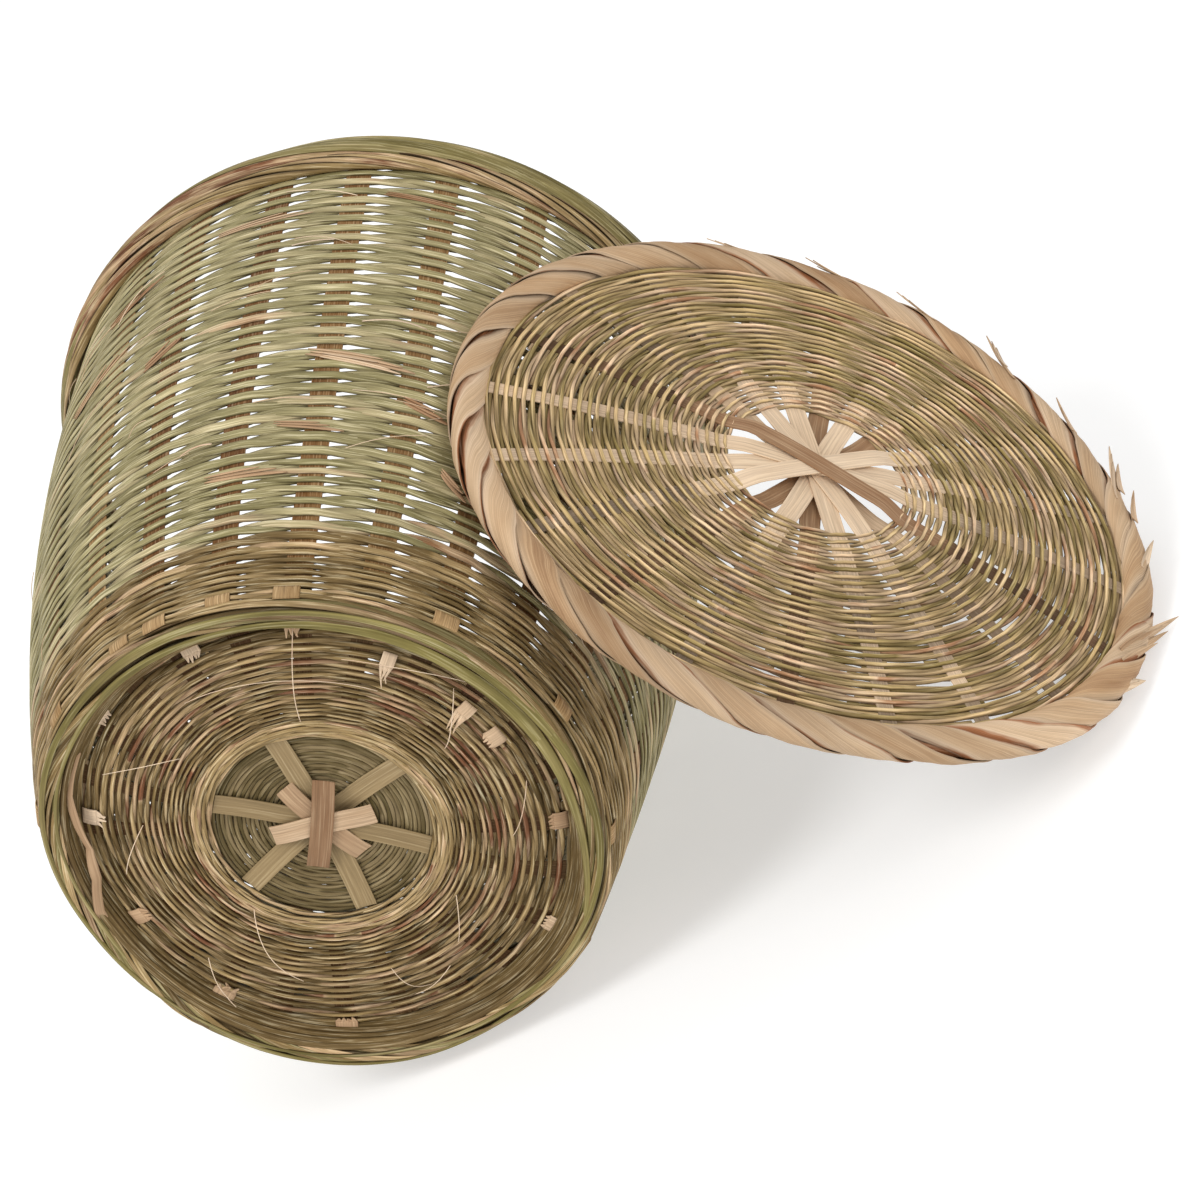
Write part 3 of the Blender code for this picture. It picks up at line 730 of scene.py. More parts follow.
# Stakes run out through the base, bend at the foot and stand in the wall
stake = {
    "width": 8.4, "thick": 0.4, "start": 38, "baseEnd": 76, "bend": ((79, 9.2), (85, 9.4), (88.6, 11.4)),
    "wallStart": 14.5, "steps": 520, "skew": 0.008, "brights": (0.76, 0.94), "tones": (0.2, 0.62),
    # Painted shade: shade darkens the stakes round shadeAt below shadeBelow, underFoot darkens them under the foot
    # ring and the base, between gives each weft's painted shadow on the stake below it, and inside is the
    # brightness of their inner face
    "inside": 0.9, "shade": 0.42, "shadeAt": -16, "shadeReach": 28, "shadeBelow": 112, "underFoot": 0.3,
    "between": ((0.4, 0.58, 0.7, 0.82), (1.06, 0.98, 0.6, 0.2)),
}


# The stake's line as radius and height, and the way along it to each of its points
def stakeLine():
    line = [(r, float(np.polyval(baseCurve, r))) for r in np.linspace(stake["start"], stake["baseEnd"], 9)]
    line += list(stake["bend"])
    line += [(float(np.polyval(wallCurve, z)) - wall["middle"], z)
             for z in np.linspace(stake["wallStart"], wall["top"], 30)]
    line = np.array(line)
    far = np.concatenate([[0], np.cumsum(np.linalg.norm(np.diff(line, axis=0), axis=1))])
    return line, far


def makeStakes():
    dice = random.Random(5)
    line, far = stakeLine()
    length = float(far[-1])
    rows = np.array(wallRows["heights"][::-1])

    def onLine(where):
        return [np.interp(where, far, part) for part in line.T]

    for k in range(upright["stakes"]):
        angle = math.radians(upright["phase"] + 360 * k / upright["stakes"])
        skew = [dice.uniform(-stake["skew"], stake["skew"]) for n in range(3)]

        def shape(along, across):
            where = along + length / 2
            radius, height = onLine(where)
            aside = across * np.clip((radius - 36) / 45, 0.6, 1)
            turn = angle + skew[0] * np.sin(where / 60 + skew[1] * 300) + skew[2] + 0 * where
            sideways = np.stack([-np.sin(turn), np.cos(turn), 0 * turn], axis=1)
            radius = radius + squeeze(turn, height) * share(radius)
            return polar(radius, turn, height) + sideways * aside[:, None]

        bright = dice.uniform(*stake["brights"])
        shaded = stake["shade"] * nearness(angle, stake["shadeAt"], stake["shadeReach"])

        # Painted shadow: each weft darkens the piece of stake below it; the stakes are also darker with painted
        # shade under the foot ring and the base, and round shadeAt low on the wall
        def shade(along):
            radius, height = onLine((along + 0.5) * length)
            above = np.clip(np.searchsorted(rows, height), 1, len(rows) - 1)
            between = (height - rows[above - 1]) / (rows[above] - rows[above - 1])
            under = np.interp(between, *stake["between"])
            under = np.where((radius < 86) | (height < 12), stake["underFoot"], under)
            return bright * (1 - shaded * (height < stake["shadeBelow"])) * under

        piece = splintPiece(f"stake_strip_{k + 1:02d}", (length, stake["width"], stake["thick"]),
                            stake["steps"], shape, basket, "stakeTan", dice.uniform(*stake["tones"]), shade,
                            stake["inside"])
        settle(piece, basket, "stake", f"stake_{k + 1:02d}")


makeStakes()
print("stakes made")


# Split canes twisted together round a ring, to the left; the lay is longer on one side than on the other
def twistedCanes(ring, dice, count, extra=0, of=None):
    turn = roundTurns(ring["steps"])
    lines = []
    for k in range(count):
        wind = -ring["turns"] * turn - ring["uneven"] * np.sin(turn - math.radians(ring["tight"]))
        wind = wind + full * k / (of or count) + extra + ripple(turn, dice, (2, 3, 5), ring["stray"])
        spread = ring["helix"] * (1 + ripple(turn, dice, (2, 5), 0.07) + dice.uniform(-0.04, 0.04))
        radius = ring["radius"] + spread * np.cos(wind) + squeeze(turn, ring["lift"])
        height = ring["lift"] + spread * ring["flatten"] * np.sin(wind)
        out = polar(np.cos(wind), turn, np.sin(wind))
        tone = np.clip(dice.uniform(*ring["tones"]) + ripple(turn, dice, (2, 5, 9), 0.14), 0, 1)
        shade = dice.uniform(*ring["shades"]) * (1 + ripple(turn, dice, (3, 8), 0.08))
        # Painted shade by direction
        shade = shade * np.interp(np.degrees(turn), *zip(*ring["shadeByTurn"]), period=360)
        wide = ring["width"] * dice.uniform(*ring["widths"]) * (1 + ripple(turn, dice, (2, 3, 7), 0.1))
        lines.append(strand(polar(radius, turn, height), out, wide, ring["thick"], tone, shade))
    return lines


# Foot ring and rim: radius and lift of the bundle's middle, how far its strands wind off it, the turns
# of their lay and where it is tight, their widths, colours and brightness, and painted shade by direction
foot = {
    "radius": 84.6, "lift": 4.6, "helix": 2.7, "flatten": 1.1, "turns": 3, "uneven": 2, "tight": 150,
    "width": 3.4, "widths": (1, 1), "thick": 1.8, "steps": 240, "tones": (0.15, 0.7), "stray": 0.25,
    "shades": (0.64, 0.84),
    # Painted shade: the foot ring is darkest between about -55 and -25 degrees
    "shadeByTurn": ((-180, 1), (-110, 0.95), (-75, 0.75), (-55, 0.58), (-25, 0.58), (5, 0.8), (40, 1)),
}
footThin = dict(foot, helix=3.3, width=2, widths=(0.5, 1.2), thick=1.1, tones=(0.2, 0.85), uneven=1.6,
                stray=0.6, shades=(0.6, 1.14))
footCore = dict(foot, helix=1.2, width=3.6, turns=2, tones=(0.1, 0.5), shades=(0.6, 0.75))
rim = {
    "radius": 112.4, "lift": 230.4, "helix": 3.2, "flatten": 1, "turns": 3, "uneven": 0.8, "tight": 200,
    "width": 6.4, "widths": (1, 1), "thick": 3.2, "steps": 240, "tones": (0.1, 0.5), "stray": 0.16,
    "shades": (0.6, 0.75), "shadeByTurn": ((0, 1),),
}
rimThin = dict(rim, helix=4.75, width=2.5, widths=(0.7, 1.25), thick=1.1, tones=(0.2, 0.75), turns=2,
               uneven=0.9, stray=0.2, shades=(0.5, 0.82))
rimTan = dict(rimThin, tones=(0.5, 0.98), shades=(0.62, 0.96))
rimStrands = {"green": 11, "tan": 8, "start": -2.07}
rimCord = {
    "radius": 113, "lift": 223.6, "helix": 2, "flatten": 1.7, "turns": 6, "uneven": 1.5, "tight": 60,
    "width": 2.2, "widths": (1, 1), "thick": 1, "steps": 360, "tones": (0.45, 0.98), "stray": 0.5,
    "shades": (0.76, 1.06), "shadeByTurn": ((0, 1),),
}
# Two broad green canes cross on the foot ring's face: direction, radius and width along each
footBright = {
    "tones": (0.3, 0.5), "thick": 1.2, "heights": (0.8, 1.3), "clearAt": -30, "clearReach": 60, "steps": 240,
    "paths": (
        ((-180, 86.6, 1.5), (-150, 87.2, 1.8), (-120, 86.8, 2.4), (-90, 86.6, 3.2), (-64, 86.4, 3.4),
         (-40, 85.2, 3.8), (-15, 83.8, 3.8), (10, 85, 3.6), (26, 86.4, 3), (60, 83.4, 1.6),
         (100, 82.2, 1.3), (140, 84, 1.4)),
        ((-180, 82.8, 1.5), (-150, 83, 1.8), (-120, 82.6, 2.4), (-90, 82.2, 3), (-64, 81.4, 3.4),
         (-40, 80.6, 4), (-15, 79.8, 4.2), (10, 79.2, 3.6), (26, 80.4, 3), (60, 84.8, 1.6),
         (100, 86.4, 1.3), (140, 86.2, 1.4)),
    ),
}
# The flat hoop's strips, as radius and height
footHoop = {"places": ((77, 8), (78, 6.6), (79, 5.2), (80, 3.8), (81, 2.6)), "steps": 180,
            "width": 2.2, "thick": 1, "tones": (0.1, 0.5), "shades": (0.55, 0.8)}


def greenCanes(dice):
    turn = roundTurns(footBright["steps"])
    lines = []
    for path, height in zip(footBright["paths"], footBright["heights"]):
        places, radii, widths = zip(*path)
        radius = smoothed(zip(places, radii), turn) + ripple(turn, dice, (7, 11), 0.25)
        radius = radius + squeeze(turn, height)
        away = 1 - nearness(turn, footBright["clearAt"], footBright["clearReach"])
        tone = dice.uniform(*footBright["tones"]) + 0.25 * away + ripple(turn, dice, (2, 3, 7), 0.25)
        points = polar(radius, turn, height + ripple(turn, dice, (3, 5), 0.4))
        facing = unit(polar(0.5 * np.sin(3 * turn + height * 2), turn, -1))
        wide = smoothed(zip(places, widths), turn) * (1 + ripple(turn, dice, (5, 8), 0.12))
        shade = 0.8 - 0.18 * away + ripple(turn, dice, (3, 8), 0.12)
        lines.append(strand(points, facing, wide, footBright["thick"], np.clip(tone, 0, 1), shade))
    return lines


def hoopStrips(dice):
    turn = roundTurns(footHoop["steps"])
    inward = polar(0 * turn - 0.6, turn, -0.8)
    lines = []
    for radius, lift in footHoop["places"]:
        radius = radius + squeeze(turn, lift) + ripple(turn, dice, (2, 3, 5), 0.4)
        tone = np.clip(dice.uniform(*footHoop["tones"]) + ripple(turn, dice, (2, 5, 9), 0.15), 0, 1)
        points = polar(radius, turn, lift + ripple(turn, dice, (2, 3), 0.4))
        shade = dice.uniform(*footHoop["shades"])
        lines.append(strand(points, inward, footHoop["width"], footHoop["thick"], tone, shade))
    return lines


def makeRings():
    dice = random.Random(47)
    for k, line in enumerate(twistedCanes(foot, dice, 3)):
        strandPiece(f"foot_cane_strip_{k + 1}", [line], caneSection, basket, "caneGreen", "green_cane",
                    f"foot_cane_{k + 1}")
    for k, line in enumerate(twistedCanes(rim, dice, 4)):
        node = [f"rim_cane_{k + 1}"] if k < 3 else []
        strandPiece(f"rim_cane_strip_{k + 1}", [line], caneSection, basket, "caneGreen", "green_cane", *node)
    thin = twistedCanes(footThin, dice, 9, 0.6) + twistedCanes(footCore, dice, 4)
    strandPiece("foot_thin_strands", thin, caneSection, basket, "weftBrown", "tan_weave")
    strandPiece("foot_green_canes", greenCanes(dice), caneSection, basket, "caneBright", "green_cane")
    green, tan = rimStrands["green"], rimStrands["tan"]
    first = twistedCanes(rimThin, dice, green, rimStrands["start"], green + tan)
    strandPiece("rim_green_strands", first, caneSection, basket, "caneGreen", "green_cane")
    begin = rimStrands["start"] + full * green / (green + tan)
    second = twistedCanes(rimTan, dice, tan, begin, green + tan)
    strandPiece("rim_tan_strands", second, caneSection, basket, "weftBrown", "tan_weave")
    strandPiece("foot_hoop_strips", hoopStrips(dice), flatSection, basket, "weftBrown", "green_cane",
                "foot_hoop")
    strandPiece("rim_cord_strands", twistedCanes(rimCord, dice, 8), flatSection, basket, "weftBrown",
                "tan_weave", "rim_cord")


makeRings()
print("foot ring and rim made")

# Cut ends of stakes inside the foot ring: direction, radius, width and length of the frayed tips
insideTabs = (
    (-64.3, 77.7, 5.6, 2.5), (-89.7, 76.4, 6.4, 2), (-119.4, 78.7, 6.4, 1.5), (-149.2, 73, 6, 3),
    (177.7, 71.4, 6, 2.5), (146.6, 79.4, 7.6, 6), (117.1, 82.5, 7.4, 1.2), (57.7, 81, 6, 1),
    (26.5, 74.9, 6.4, 1.4), (-4.2, 66.9, 6.4, 1.2), (-15.5, 66.6, 5.2, 5.5), (-40.2, 69.2, 4.6, 5.5))
# Blocks of stake in front of the lowest wefts of the wall: direction, height, width and length
outsideTabs = (
    (-64.3, 7, 8.4, 4.6), (-78.3, 7.5, 8.2, 3.6), (-92.5, 7, 8.6, 4.4), (-101.6, 7.5, 8, 3.6),
    (-124.1, 8, 8.4, 5.4), (-32.3, 7.5, 8.4, 5), (-2, 7.5, 8, 5), (30, 8, 7.6, 4.6), (-150, 8.5, 8, 4.6),
    (60, 8.5, 8, 4.6))
# Half a block's length, thicknesses, how many tips fray from it, and between which radii the base is read
tab = {"half": 2.4, "thick": 0.4, "tipThick": 0.35, "tips": 4, "outThick": 0.5, "inside": (38, 77)}


def underBase(radius):
    return np.polyval(baseCurve, np.clip(radius, *tab["inside"]))


def makeTabs():
    dice = random.Random(97)
    face = np.tile((0, 0, -1), (6, 1))
    strands = []
    for degrees, radius, width, tips in insideTabs:
        tone, shade = dice.uniform(0.2, 0.75), dice.uniform(0.8, 1)

        def onTab(place, aside, lift):
            return polar(place, math.radians(degrees) + aside / radius, underBase(place) - lift)

        steps = np.linspace(-1, 1, 6)
        block = onTab(radius - steps * tab["half"], 0 * steps, 1.2 + 0.3 * (1 - steps ** 2))
        strands.append(openStrand(block, face, width, tab["thick"], tone, shade))
        steps = np.linspace(0, 1, 6)
        for tip in range(tab["tips"]):
            aside = (tip - 1.5) * width / 4.4 + steps ** 1.5 * dice.uniform(-0.35, 0.5) * tips
            reach = radius - 2 - steps * (0.6 + tips * dice.uniform(0.5, 1.05))
            lift = 1.3 + steps ** 2 * tips * dice.uniform(0.1, 0.45)
            wide = width / 4 * (1.15 - 0.95 * steps)
            points = onTab(reach, aside, lift)
            strands.append(openStrand(points, face, wide, tab["tipThick"], tone, shade * 1.06))
    strandPiece("stake_ends_inside", strands, stripSection, basket, "splintStraw", "stake")
    strands = []
    steps = np.linspace(-0.5, 0.5, 6)
    for degrees, height, width, length in outsideTabs:
        tone, shade = dice.uniform(0.75, 1), dice.uniform(0.85, 1.02)
        proud = 1.2 - 1.8 * steps ** 2
        points, out = onWall(height + steps * length, proud, math.radians(degrees) + 0 * steps)
        strands.append(openStrand(points, out, width, tab["outThick"], tone, 0.86 * shade))
    strandPiece("stake_ends_outside", strands, stripSection, basket, "stakeTan", "stake")


# Broken and spliced wefts on the wall: direction and height at both ends, width and tone
brokenWefts = (
    (-66, 112.5, -47, 105, 3.4, 0.3), (-64, 110.5, -50, 104, 2, 0.55), (-98.5, 133.5, -90.5, 141, 3, 0.1),
    (-48.5, 91.5, -40, 85.5, 3.2, 0.05), (-82, 58.5, -66.5, 56, 2.6, 0.2), (-40, 64, -34.5, 55.5, 3, 0.2),
    (-120, 150, -104, 158, 2, 0.25), (-112, 186, -98, 189, 2.2, 0.05), (-88, 196, -70, 194, 1.8, 0.4),
    (-58, 204, -44, 200, 1.6, 0), (-70, 78, -58, 74, 2, 0.2), (-30, 120, -22, 114, 2.4, 0.1))
# Each weft splits into three slivers
slivers = {"reach": (1, 0.84, 0.68), "width": (0.62, 0.4, 0.3), "thick": 0.3}
# A torn strip lies along the inside of the foot ring: radius and direction
tornStrip = {
    "line": ((80, -130), (79.3, -141.7), (76.2, -150.2), (73.5, -156.3), (74.5, -165.6), (79.6, -175.4),
             (81.1, -181.4), (84, -190)),
    "width": 3.4, "thick": 0.4, "tone": 0.25, "shade": 0.8, "steps": 50,
}


def tornStrand():
    radii, turns = np.array(tornStrip["line"]).T
    far = np.linspace(0, len(radii) - 1, tornStrip["steps"])
    turn = np.radians(np.interp(far, range(len(radii)), turns))
    radius = np.interp(far, range(len(radii)), radii)
    roll = 2.2 * np.sin(far * 0.9)
    face = unit(polar(0.7 * np.sin(roll), turn, -1 + 0.2 * np.cos(roll)))
    height = 5 - 3.5 * np.sin(math.pi * far / far[-1])
    return openStrand(polar(radius, turn, height), face, tornStrip["width"], tornStrip["thick"],
                      tornStrip["tone"], tornStrip["shade"])


def makeBroken():
    dice = random.Random(113)
    steps = np.linspace(0, 1, 16)
    strands = []
    for begin, low, end, high, width, tone in brokenWefts:
        for k, (part, slim) in enumerate(zip(slivers["reach"], slivers["width"])):
            reach = part * steps + dice.uniform(-0.03, 0.05)
            turn = np.radians(begin + (end - begin) * reach)
            height = low + (high - low) * reach + (k - 1) * width * 0.3
            height = height + dice.uniform(-0.5, 0.5) * steps ** 2
            points, out = onWall(height, 0.8 + 0.3 * k + dice.uniform(0.1, 0.9) * steps ** 2, turn)
            wide = width * slim * (1.1 - 0.9 * np.abs(2 * steps - 1) ** 3)
            strands.append(openStrand(points, out, wide, slivers["thick"], tone, dice.uniform(0.86, 1.04)))
    strands.append(tornStrand())
    strandPiece("broken_wefts", strands, stripSection, basket, "splintStraw", "pale_splint")


# Loose fibres that stand off the base: direction and radius at both ends, and how high they bow
looseFibres = (
    (-64, 77, -66, 42, 5), (-100, 62, -40, 58, 3), (-20, 74, -52, 66, 3), (155, 40, 128, 62, 4),
    (-168, 66, -150, 56, 3), (100, 58, 92, 70, 4), (84, 66, 98, 72, 2), (30, 60, 12, 68, 3),
    (-10, 52, -22, 70, 5), (140, 84, 156, 66, 3), (60, 48, 76, 60, 3), (-135, 70, -118, 50, 2))
wallFibres = {"count": 34, "turns": (-150, 10), "heights": (30, 215), "lengths": (8, 26),
              "lean": (-0.5, 0.5), "bows": (0.6, 2.4), "widths": (0.25, 0.3, 0.5, 0.8), "thick": 0.25}


def makeFibres():
    dice = random.Random(101)
    steps = np.linspace(0, 1, 14)
    face = np.tile((0.1, 0.2, -1), (14, 1))
    strands = []
    for begin, near, end, far, bow in looseFibres:
        turn = np.radians(begin + (end - begin) * steps)
        radius = near + (far - near) * steps
        points = polar(radius, turn, underBase(radius) - 1.3 - bow * np.sin(math.pi * steps))
        strands.append(openStrand(points, face, 0.3, 0.25, 0.85, 1.1))
    for k in range(wallFibres["count"]):
        begin, height = dice.uniform(*wallFibres["turns"]), dice.uniform(*wallFibres["heights"])
        length, lean = dice.uniform(*wallFibres["lengths"]), dice.uniform(*wallFibres["lean"])
        turn = np.radians(begin) + steps * length / 108
        lift = 0.9 + dice.uniform(*wallFibres["bows"]) * np.sin(math.pi * steps * dice.uniform(0.5, 1))
        points, out = onWall(height + lean * length * steps, lift, turn)
        width, tone = dice.choice(wallFibres["widths"]), dice.uniform(0.4, 0.9)
        strands.append(openStrand(points, out, width, wallFibres["thick"], tone, dice.uniform(0.95, 1.1)))
    strandPiece("loose_fibres", strands, hairSection, basket, "splintStraw", "pale_splint")


makeTabs()
makeBroken()
makeFibres()
print("stake ends and loose fibres made")

# Lid: a shallow dome of twined rows; the first few round the hub are loose. Each piece holds the rows from
# one number up to another
lidShape = {"rise": 8.6, "edge": 109.6, "inner": 30.65, "outer": 108.2, "thickness": 2}
lidRows = {
    "pitch": 2.95, "stray": 0.15, "loose": 5,
    "weft": {"stakes": 20, "phase": 9, "steps": 10, "width": 1.48, "sway": 0.64, "lift": 0.5, "thick": 1.5,
             "wobble": 0.24, "straight": 0.15, "snap": 1, "backShade": 0.2, "reliefShade": 0.2,
             # Painted light on the rows round 95 degrees, painted shade round -100 degrees where they are also
             # thinner
             "local": ((95, 75, 0, 0.1), (-100, 70, 0.04, -0.08)),
             "tint": splicedTint((0.1, 0.2, 0.32, 0.42, 0.5, 0.6, 0.7, 0.78, 0.86, 0.97), 0.06,
                                 (0.82, 1.12), 7)},
    "looseWeft": {"width": 1.3, "sway": 0.6, "wobble": 0.3, "thick": 1.2,
                  "tint": splicedTint((0.6, 0.7, 0.8, 0.88), 0.05, (0.9, 1.06))},
    "deep": {"width": 1.3, "openings": 6, "shades": (0.5, 0.9)},
    "pieces": ((0, 8, "lid_wefts_inner"), (8, 17, "lid_wefts_middle"), (17, 99, "lid_wefts_outer")),
}


def lidTop(radius):
    return 1 + lidShape["rise"] * (1 - np.minimum(radius / lidShape["edge"], 1.2) ** 2)


def onLid(radius, proud, turn):
    slope = 2 * lidShape["rise"] * radius / lidShape["edge"] ** 2
    return raised(radius, turn, lidTop(radius) - lidShape["thickness"] / 2, slope, 1, proud)


def makeLidWefts():
    dice = random.Random(59)
    pitch, stray = lidRows["pitch"], lidRows["stray"]
    count = int((lidShape["outer"] - lidShape["inner"]) / pitch) + 1
    for first, end, name in lidRows["pieces"]:
        strands = []
        for k in range(first, min(end, count)):
            radius = lidShape["inner"] + k * pitch + dice.uniform(-stray, stray)
            if k < lidRows["loose"]:
                strands += twinedRow(onLid, radius, dict(lidRows["weft"], **lidRows["looseWeft"]), dice)
            else:
                strands += twinedRow(onLid, radius, lidRows["weft"], dice)
                strands += deepStrands(onLid, [radius - pitch / 2], lidRows["deep"], dice)
        strandPiece(name, strands, roundSection, lid, "weftLid", "green_weave", "lid_weave")


# Splints from edge to edge: each row gives a splint's place in the pile at the hub, its colour and
# brightness there, its painted shade under the wefts on both sides, and its turn at the hub in degrees
lidSplint = {
    "width": 7.2, "narrow": 5.6, "thick": 0.5, "level": 0.62, "start": 9, "stack": 22.5, "steps": 80,
    "rows": (
        (7, 0.62, 1, 0.6, 1.12, 0.4), (6, 0.66, 0.98, 0.6, 1.06, 0.4), (8, 0.7, 1.02, 0.5, 0.34, 0.1),
        (1, 0.08, 0.8, 0.4, 0.34, 1.4), (3, 0.66, 1, 0.4, 0.4, 3.8), (0, 0.1, 0.78, 0.4, 0.42, 1.8),
        (4, 0.6, 0.98, 0.45, 0.5, -1.6), (5, 0.64, 1, 0.55, 0.66, 1.5), (2, 0.5, 0.9, 0.45, 0.6, 0),
        (9, 0.04, 0.86, 0.4, 0.45, -5)),
    # The painted shade under the wefts also changes from spot to spot, at random
    "clear": 2, "clearSpotShades": (0.72, 1.12), "spotShades": (0.5, 0.6, 0.7, 0.9, 1.6), "spotPlaces": 60,
}


def makeLidSplints():
    dice = random.Random(67)
    length = 2 * (lidShape["outer"] + 1)
    for k, (place, tone, bright, near, distant, skew) in enumerate(lidSplint["rows"]):
        angle = math.radians(lidSplint["start"] + 180 / len(lidSplint["rows"]) * k)
        level = (place - 4.5) * lidSplint["level"]

        def shape(along, across):
            far = np.abs(along)
            out = np.clip((far - lidSplint["stack"]) / 12, 0, 1)
            height = lidTop(far) - lidShape["thickness"] / 2 + level * (1 - out * out * (3 - 2 * out))
            wide = np.interp(far, (0, 40, 90), (1, 0.95, lidSplint["narrow"] / lidSplint["width"]))
            turn = angle + math.radians(skew) * np.clip(1 - far / 60, 0, 1)
            return laid(along, across * wide, turn, height)

        places = np.linspace(-0.5, 0.5, lidSplint["spotPlaces"])
        if k < lidSplint["clear"]:
            paintedShade = [dice.uniform(*lidSplint["clearSpotShades"]) for spot in places]
        else:
            paintedShade = [dice.choice(lidSplint["spotShades"]) for spot in places]

        # Painted shade: beyond the hub, under the wefts, the splint takes its near or distant value, varied from
        # spot to spot
        def shade(along):
            outside = np.where(along > 0, near, distant) * np.interp(along, places, paintedShade)
            under = np.clip((np.abs(along) * length - 43) / 8, 0, 1)
            return bright * (1 + (outside - 1) * under)

        size = (length, lidSplint["width"], lidSplint["thick"])
        piece = splintPiece(f"lid_strip_{k + 1:02d}", size, lidSplint["steps"], shape, lid, "splintStraw",
                            tone, shade)
        settle(piece, lid, "pale_splint", f"lid_splint_{k + 1:02d}")


# Border: straw strips wound to the left round a bundle of strands
border = {
    "middle": 115.4, "wide": 5.9, "high": 4.9, "turns": 10, "strips": 3, "steps": 720, "square": 0.82,
    "cover": 138, "open": 0.34, "ribs": 11, "overlap": 1.2, "thick": 0.4, "lay": 1.3, "inside": 0.5,
    "smooth": 50, "tones": (0.2, 0.75), "shades": (0.78, 0.99),
    # Towards a strip's edges its tone turns red-brown, partly the straw's own colour at the seams and partly
    # painted shade; lights is painted shade across a strip, darkest at the seam, and inside the painted shade of
    # the strips' inner faces
    "paintedShade": ((0, 0.15, 0.42, 0.86, 1), (0.55, 0.44, 0, 0, 0.4)),
    "lights": ((0, 0.1, 0.26, 0.9, 1), (0.46, 0.66, 0.97, 1.02, 0.8)),
}
borderCore = {"strands": 7, "turns": 4, "steps": 180, "wide": 3.6, "high": 2.7, "width": 3.6, "thick": 1,
              "tone": 1, "shade": 0.72}


# The border's middle radius and its size round the ring
def borderRing(turn):
    return border["middle"] + smoothed(uneven["border"], turn), smoothed(uneven["borderSize"], turn)


def squared(wave):
    return np.sign(wave) * np.abs(wave) ** border["square"]


# One strip's points and tints; its leading edge lies over the strip before it
def borderStrip(k, dice):
    ribs, turn = border["ribs"], roundTurns(border["steps"])
    wind = full * k / border["strips"] - border["turns"] * turn + ripple(turn, dice, (3, 5, 7, 11), 0.24)
    cover = math.radians(border["cover"]) * (1 + ripple(turn, dice, (7, 11, 17, 23), border["open"]))
    puff = ripple(turn, dice, (11, 19, 29), 0.3)
    laps = [(dice.uniform(*border["tones"]), dice.uniform(*border["shades"]))
            for lap in range(border["turns"] + 3)]
    tones, shades = np.array(laps).T
    middle, size = borderRing(turn)
    # Painted light and shade on the border by direction
    lit = smoothed(uneven["borderShade"], turn)
    outer, inner, lights, colours = [], [], [], []
    for j in range(ribs):
        part = j / (ribs - 1)
        angle = wind + cover * (part - 0.5)
        lap = np.floor((angle + math.pi / 2) / full).astype(int) % border["turns"]
        lift = border["overlap"] * part ** 0.8 + (0.35 + puff) * math.sin(math.pi * part)
        crease = 0.1 * np.sin(part * 19 + 3 * np.sin(5 * turn + k))
        for thick, rows in ((0, outer), (-border["thick"], inner)):
            wide = border["wide"] - border["overlap"] + lift + crease + thick
            high = border["high"] - border["overlap"] + lift + crease + thick
            across = middle + size * wide * squared(np.cos(angle))
            rows.append(polar(across, turn, size * high * squared(np.sin(angle))))
        # Painted shade: a strip darkens and turns red-brown towards its edges, and its inner face is darker
        paintedShade = np.interp(part, *border["paintedShade"])
        colours.append(np.clip(tones[lap] + paintedShade + ripple(turn, dice, (9, 14), 0.04), 0.02, 0.99))
        lights.append(shades[lap] * lit * np.interp(part, *border["lights"]))
    lights += [border["inside"] * shades[lap]] * ribs
    colours += colours[::-1]
    tints = tintRows(np.stack(colours, axis=1).ravel(), np.stack(lights, axis=1).ravel())
    return np.stack(outer + inner[::-1], axis=1).reshape(-1, 3), tints


def makeBorder():
    dice = random.Random(71)
    ribs = border["ribs"]
    parts = np.concatenate([np.arange(ribs), np.arange(ribs)[::-1]]) / (ribs - 1)
    grids = tubeGrid(border["steps"], border["steps"], 2 * ribs)
    steps, rings, sides = [grid[:, (0, 3, 2, 1)] for grid in grids]
    quads = (rings * 2 * ribs + sides).tolist()
    u = steps * full * border["middle"] / border["steps"] / 10
    v = parts[sides] * border["lay"]
    for k in range(border["strips"]):
        spots, tints = borderStrip(k, dice)
        grain = np.stack([u, v + 3.3 * k], axis=2)
        piece = meshPiece(f"border_strap_{k + 1}", spots, quads, grain, tints, lid, "strawStrap")
        pickOnly(piece)
        bpy.ops.object.shade_smooth_by_angle(angle=math.radians(border["smooth"]))
        settle(piece, lid, "straw_wrap", f"lid_border_wrap_{k + 1}")


def makeBorderCore():
    turn = roundTurns(borderCore["steps"])
    middle, size = borderRing(turn)
    strands = []
    for k in range(borderCore["strands"]):
        wind = full * k / borderCore["strands"] - borderCore["turns"] * turn
        points = polar(middle + borderCore["wide"] * size * np.cos(wind), turn,
                       borderCore["high"] * size * np.sin(wind))
        strands.append(strand(points, polar(np.cos(wind), turn, np.sin(wind)), borderCore["width"],
                              borderCore["thick"], borderCore["tone"], borderCore["shade"]))
    strandPiece("border_core_strands", strands, stripSection, lid, "strawStrap", "tan_weave",
                "lid_border_core")


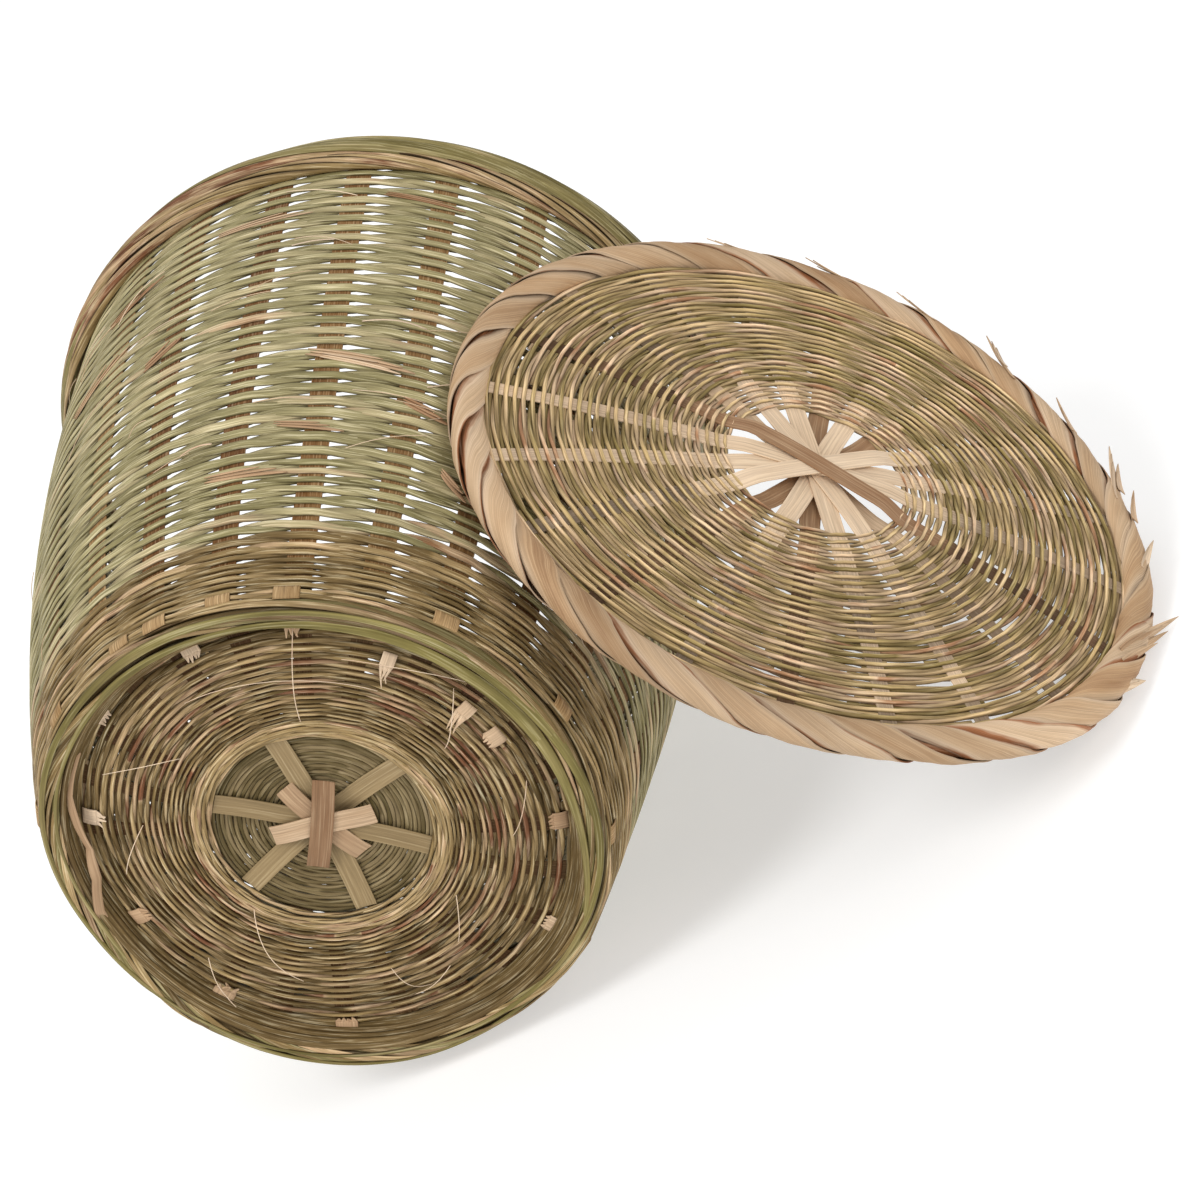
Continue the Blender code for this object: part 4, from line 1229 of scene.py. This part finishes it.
# Ends of the straw strips that stand out of the border, each split into three: direction and radius at
# both ends, width, tone and height
borderTips = (
    (95.5, 116.5, 103.6, 122.3, 3.4, 0.3, 2.5), (97.5, 118, 101.5, 120.8, 2, 0.6, 1.5),
    (62.5, 113, 72.2, 124.4, 3.6, 0.3, 2.5), (65.5, 115, 70, 120.6, 2.4, 0.7, 3.5),
    (31, 113.5, 44, 123.2, 4.2, 0.6, 2.5), (33.5, 116.5, 40.5, 122.6, 3, 0.45, 1.5),
    (26, 115.5, 33.5, 120.4, 2.6, 0.3, 3.5), (-8.5, 113.5, 5.2, 125.8, 3.6, 0.45, 3),
    (-7, 117, 2, 123.6, 2.2, 0.3, 1.5), (-12, 115, -3.5, 121, 2.4, 0.35, 4),
    (-10, 112.5, -1, 119, 2, 0.2, 5), (14, 114.5, 22, 119.8, 3.2, 0.65, 3),
    (48, 114, 56, 119.6, 2.8, 0.3, 3), (80, 115.5, 88, 120.4, 2.8, 0.4, 3),
    (112, 117, 120.5, 122, 3, 0.5, 3), (-20, 116, -12, 123.2, 6, 0.7, 2))
tipSlivers = {"turn": (1, 0.86, 0.7), "reach": (1, 0.9, 0.72), "width": (1, 0.45, 0.35), "thick": 0.3}


def makeBorderTips():
    dice = random.Random(83)
    steps = np.linspace(0, 1, 10)
    strands = []
    for begin, near, end, far, width, tone, height in borderTips:
        for k in range(3):
            turn = np.radians(begin + (end - begin) * tipSlivers["turn"][k] * steps)
            reach = near + (far - near) * steps ** 1.6 * tipSlivers["reach"][k] - 0.7 * k
            rise = height + (3.2 - height) * (1 - steps) * 0.5 + 0.5 * k + dice.uniform(-0.3, 0.3) * steps
            wide = tipSlivers["width"][k] * width * (1 - steps ** 2.5) + 0.15
            face = unit(polar(0.5 + 0 * turn, turn, 0.85))
            # Painted shade: each further sliver and each sliver's outer end a little darker
            points, bright = polar(reach, turn, rise), 1.12 - 0.1 * k - 0.15 * steps
            strands.append(openStrand(points, face, wide, tipSlivers["thick"], tone, bright))
    strandPiece("border_tips", strands, stripSection, lid, "splintStraw", "straw_wrap")


makeLidWefts()
makeLidSplints()
makeBorder()
makeBorderTips()
makeBorderCore()
print("lid made")

# Studio: a white floor, a broad light above the camera and fills from the sides, each as its place,
# width and power
studio = {
    "paper": {"Base Color": (0.6, 0.6, 0.597, 1), "Roughness": 0.9, "Specular IOR Level": 0.1,
              "Emission Color": (1, 1, 1, 1), "Emission Strength": 0.5},
    "sky": {"Color": (1, 1, 1, 1), "Strength": 0.58},
    "size": 14, "level": -0.0004, "aim": (0, 0, 0.1),
    "lights": (((-0.9, -1.6, 2.2), 1.2, 36), ((1.9, -1.2, 1.3), 1.3, 14), ((-0.3, 1.4, 2.4), 1.6, 12)),
}


def makeFloor():
    bpy.ops.mesh.primitive_plane_add(size=studio["size"], location=(0, 0, studio["level"]))
    floor = bpy.context.object
    floor.name = "floor"
    paper = bpy.data.materials.new("floor")
    paper.use_nodes = True
    setInputs(paper.node_tree.nodes["Principled BSDF"], studio["paper"])
    floor.data.materials.append(paper)


def makeLights():
    for place, size, power in studio["lights"]:
        bpy.ops.object.light_add(type="AREA", location=place)
        lamp = bpy.context.object
        lamp.data.shape = "DISK"
        lamp.data.size = size
        lamp.data.energy = power
        aim = Vector(studio["aim"]) - Vector(place)
        lamp.rotation_euler = aim.to_track_quat("-Z", "Y").to_euler()
    world = bpy.data.worlds.new("studio")
    world.use_nodes = True
    setInputs(world.node_tree.nodes["Background"], studio["sky"])
    bpy.context.scene.world = world
    bpy.context.scene.view_settings.view_transform = "Standard"


makeFloor()
makeLights()
print("studio made")
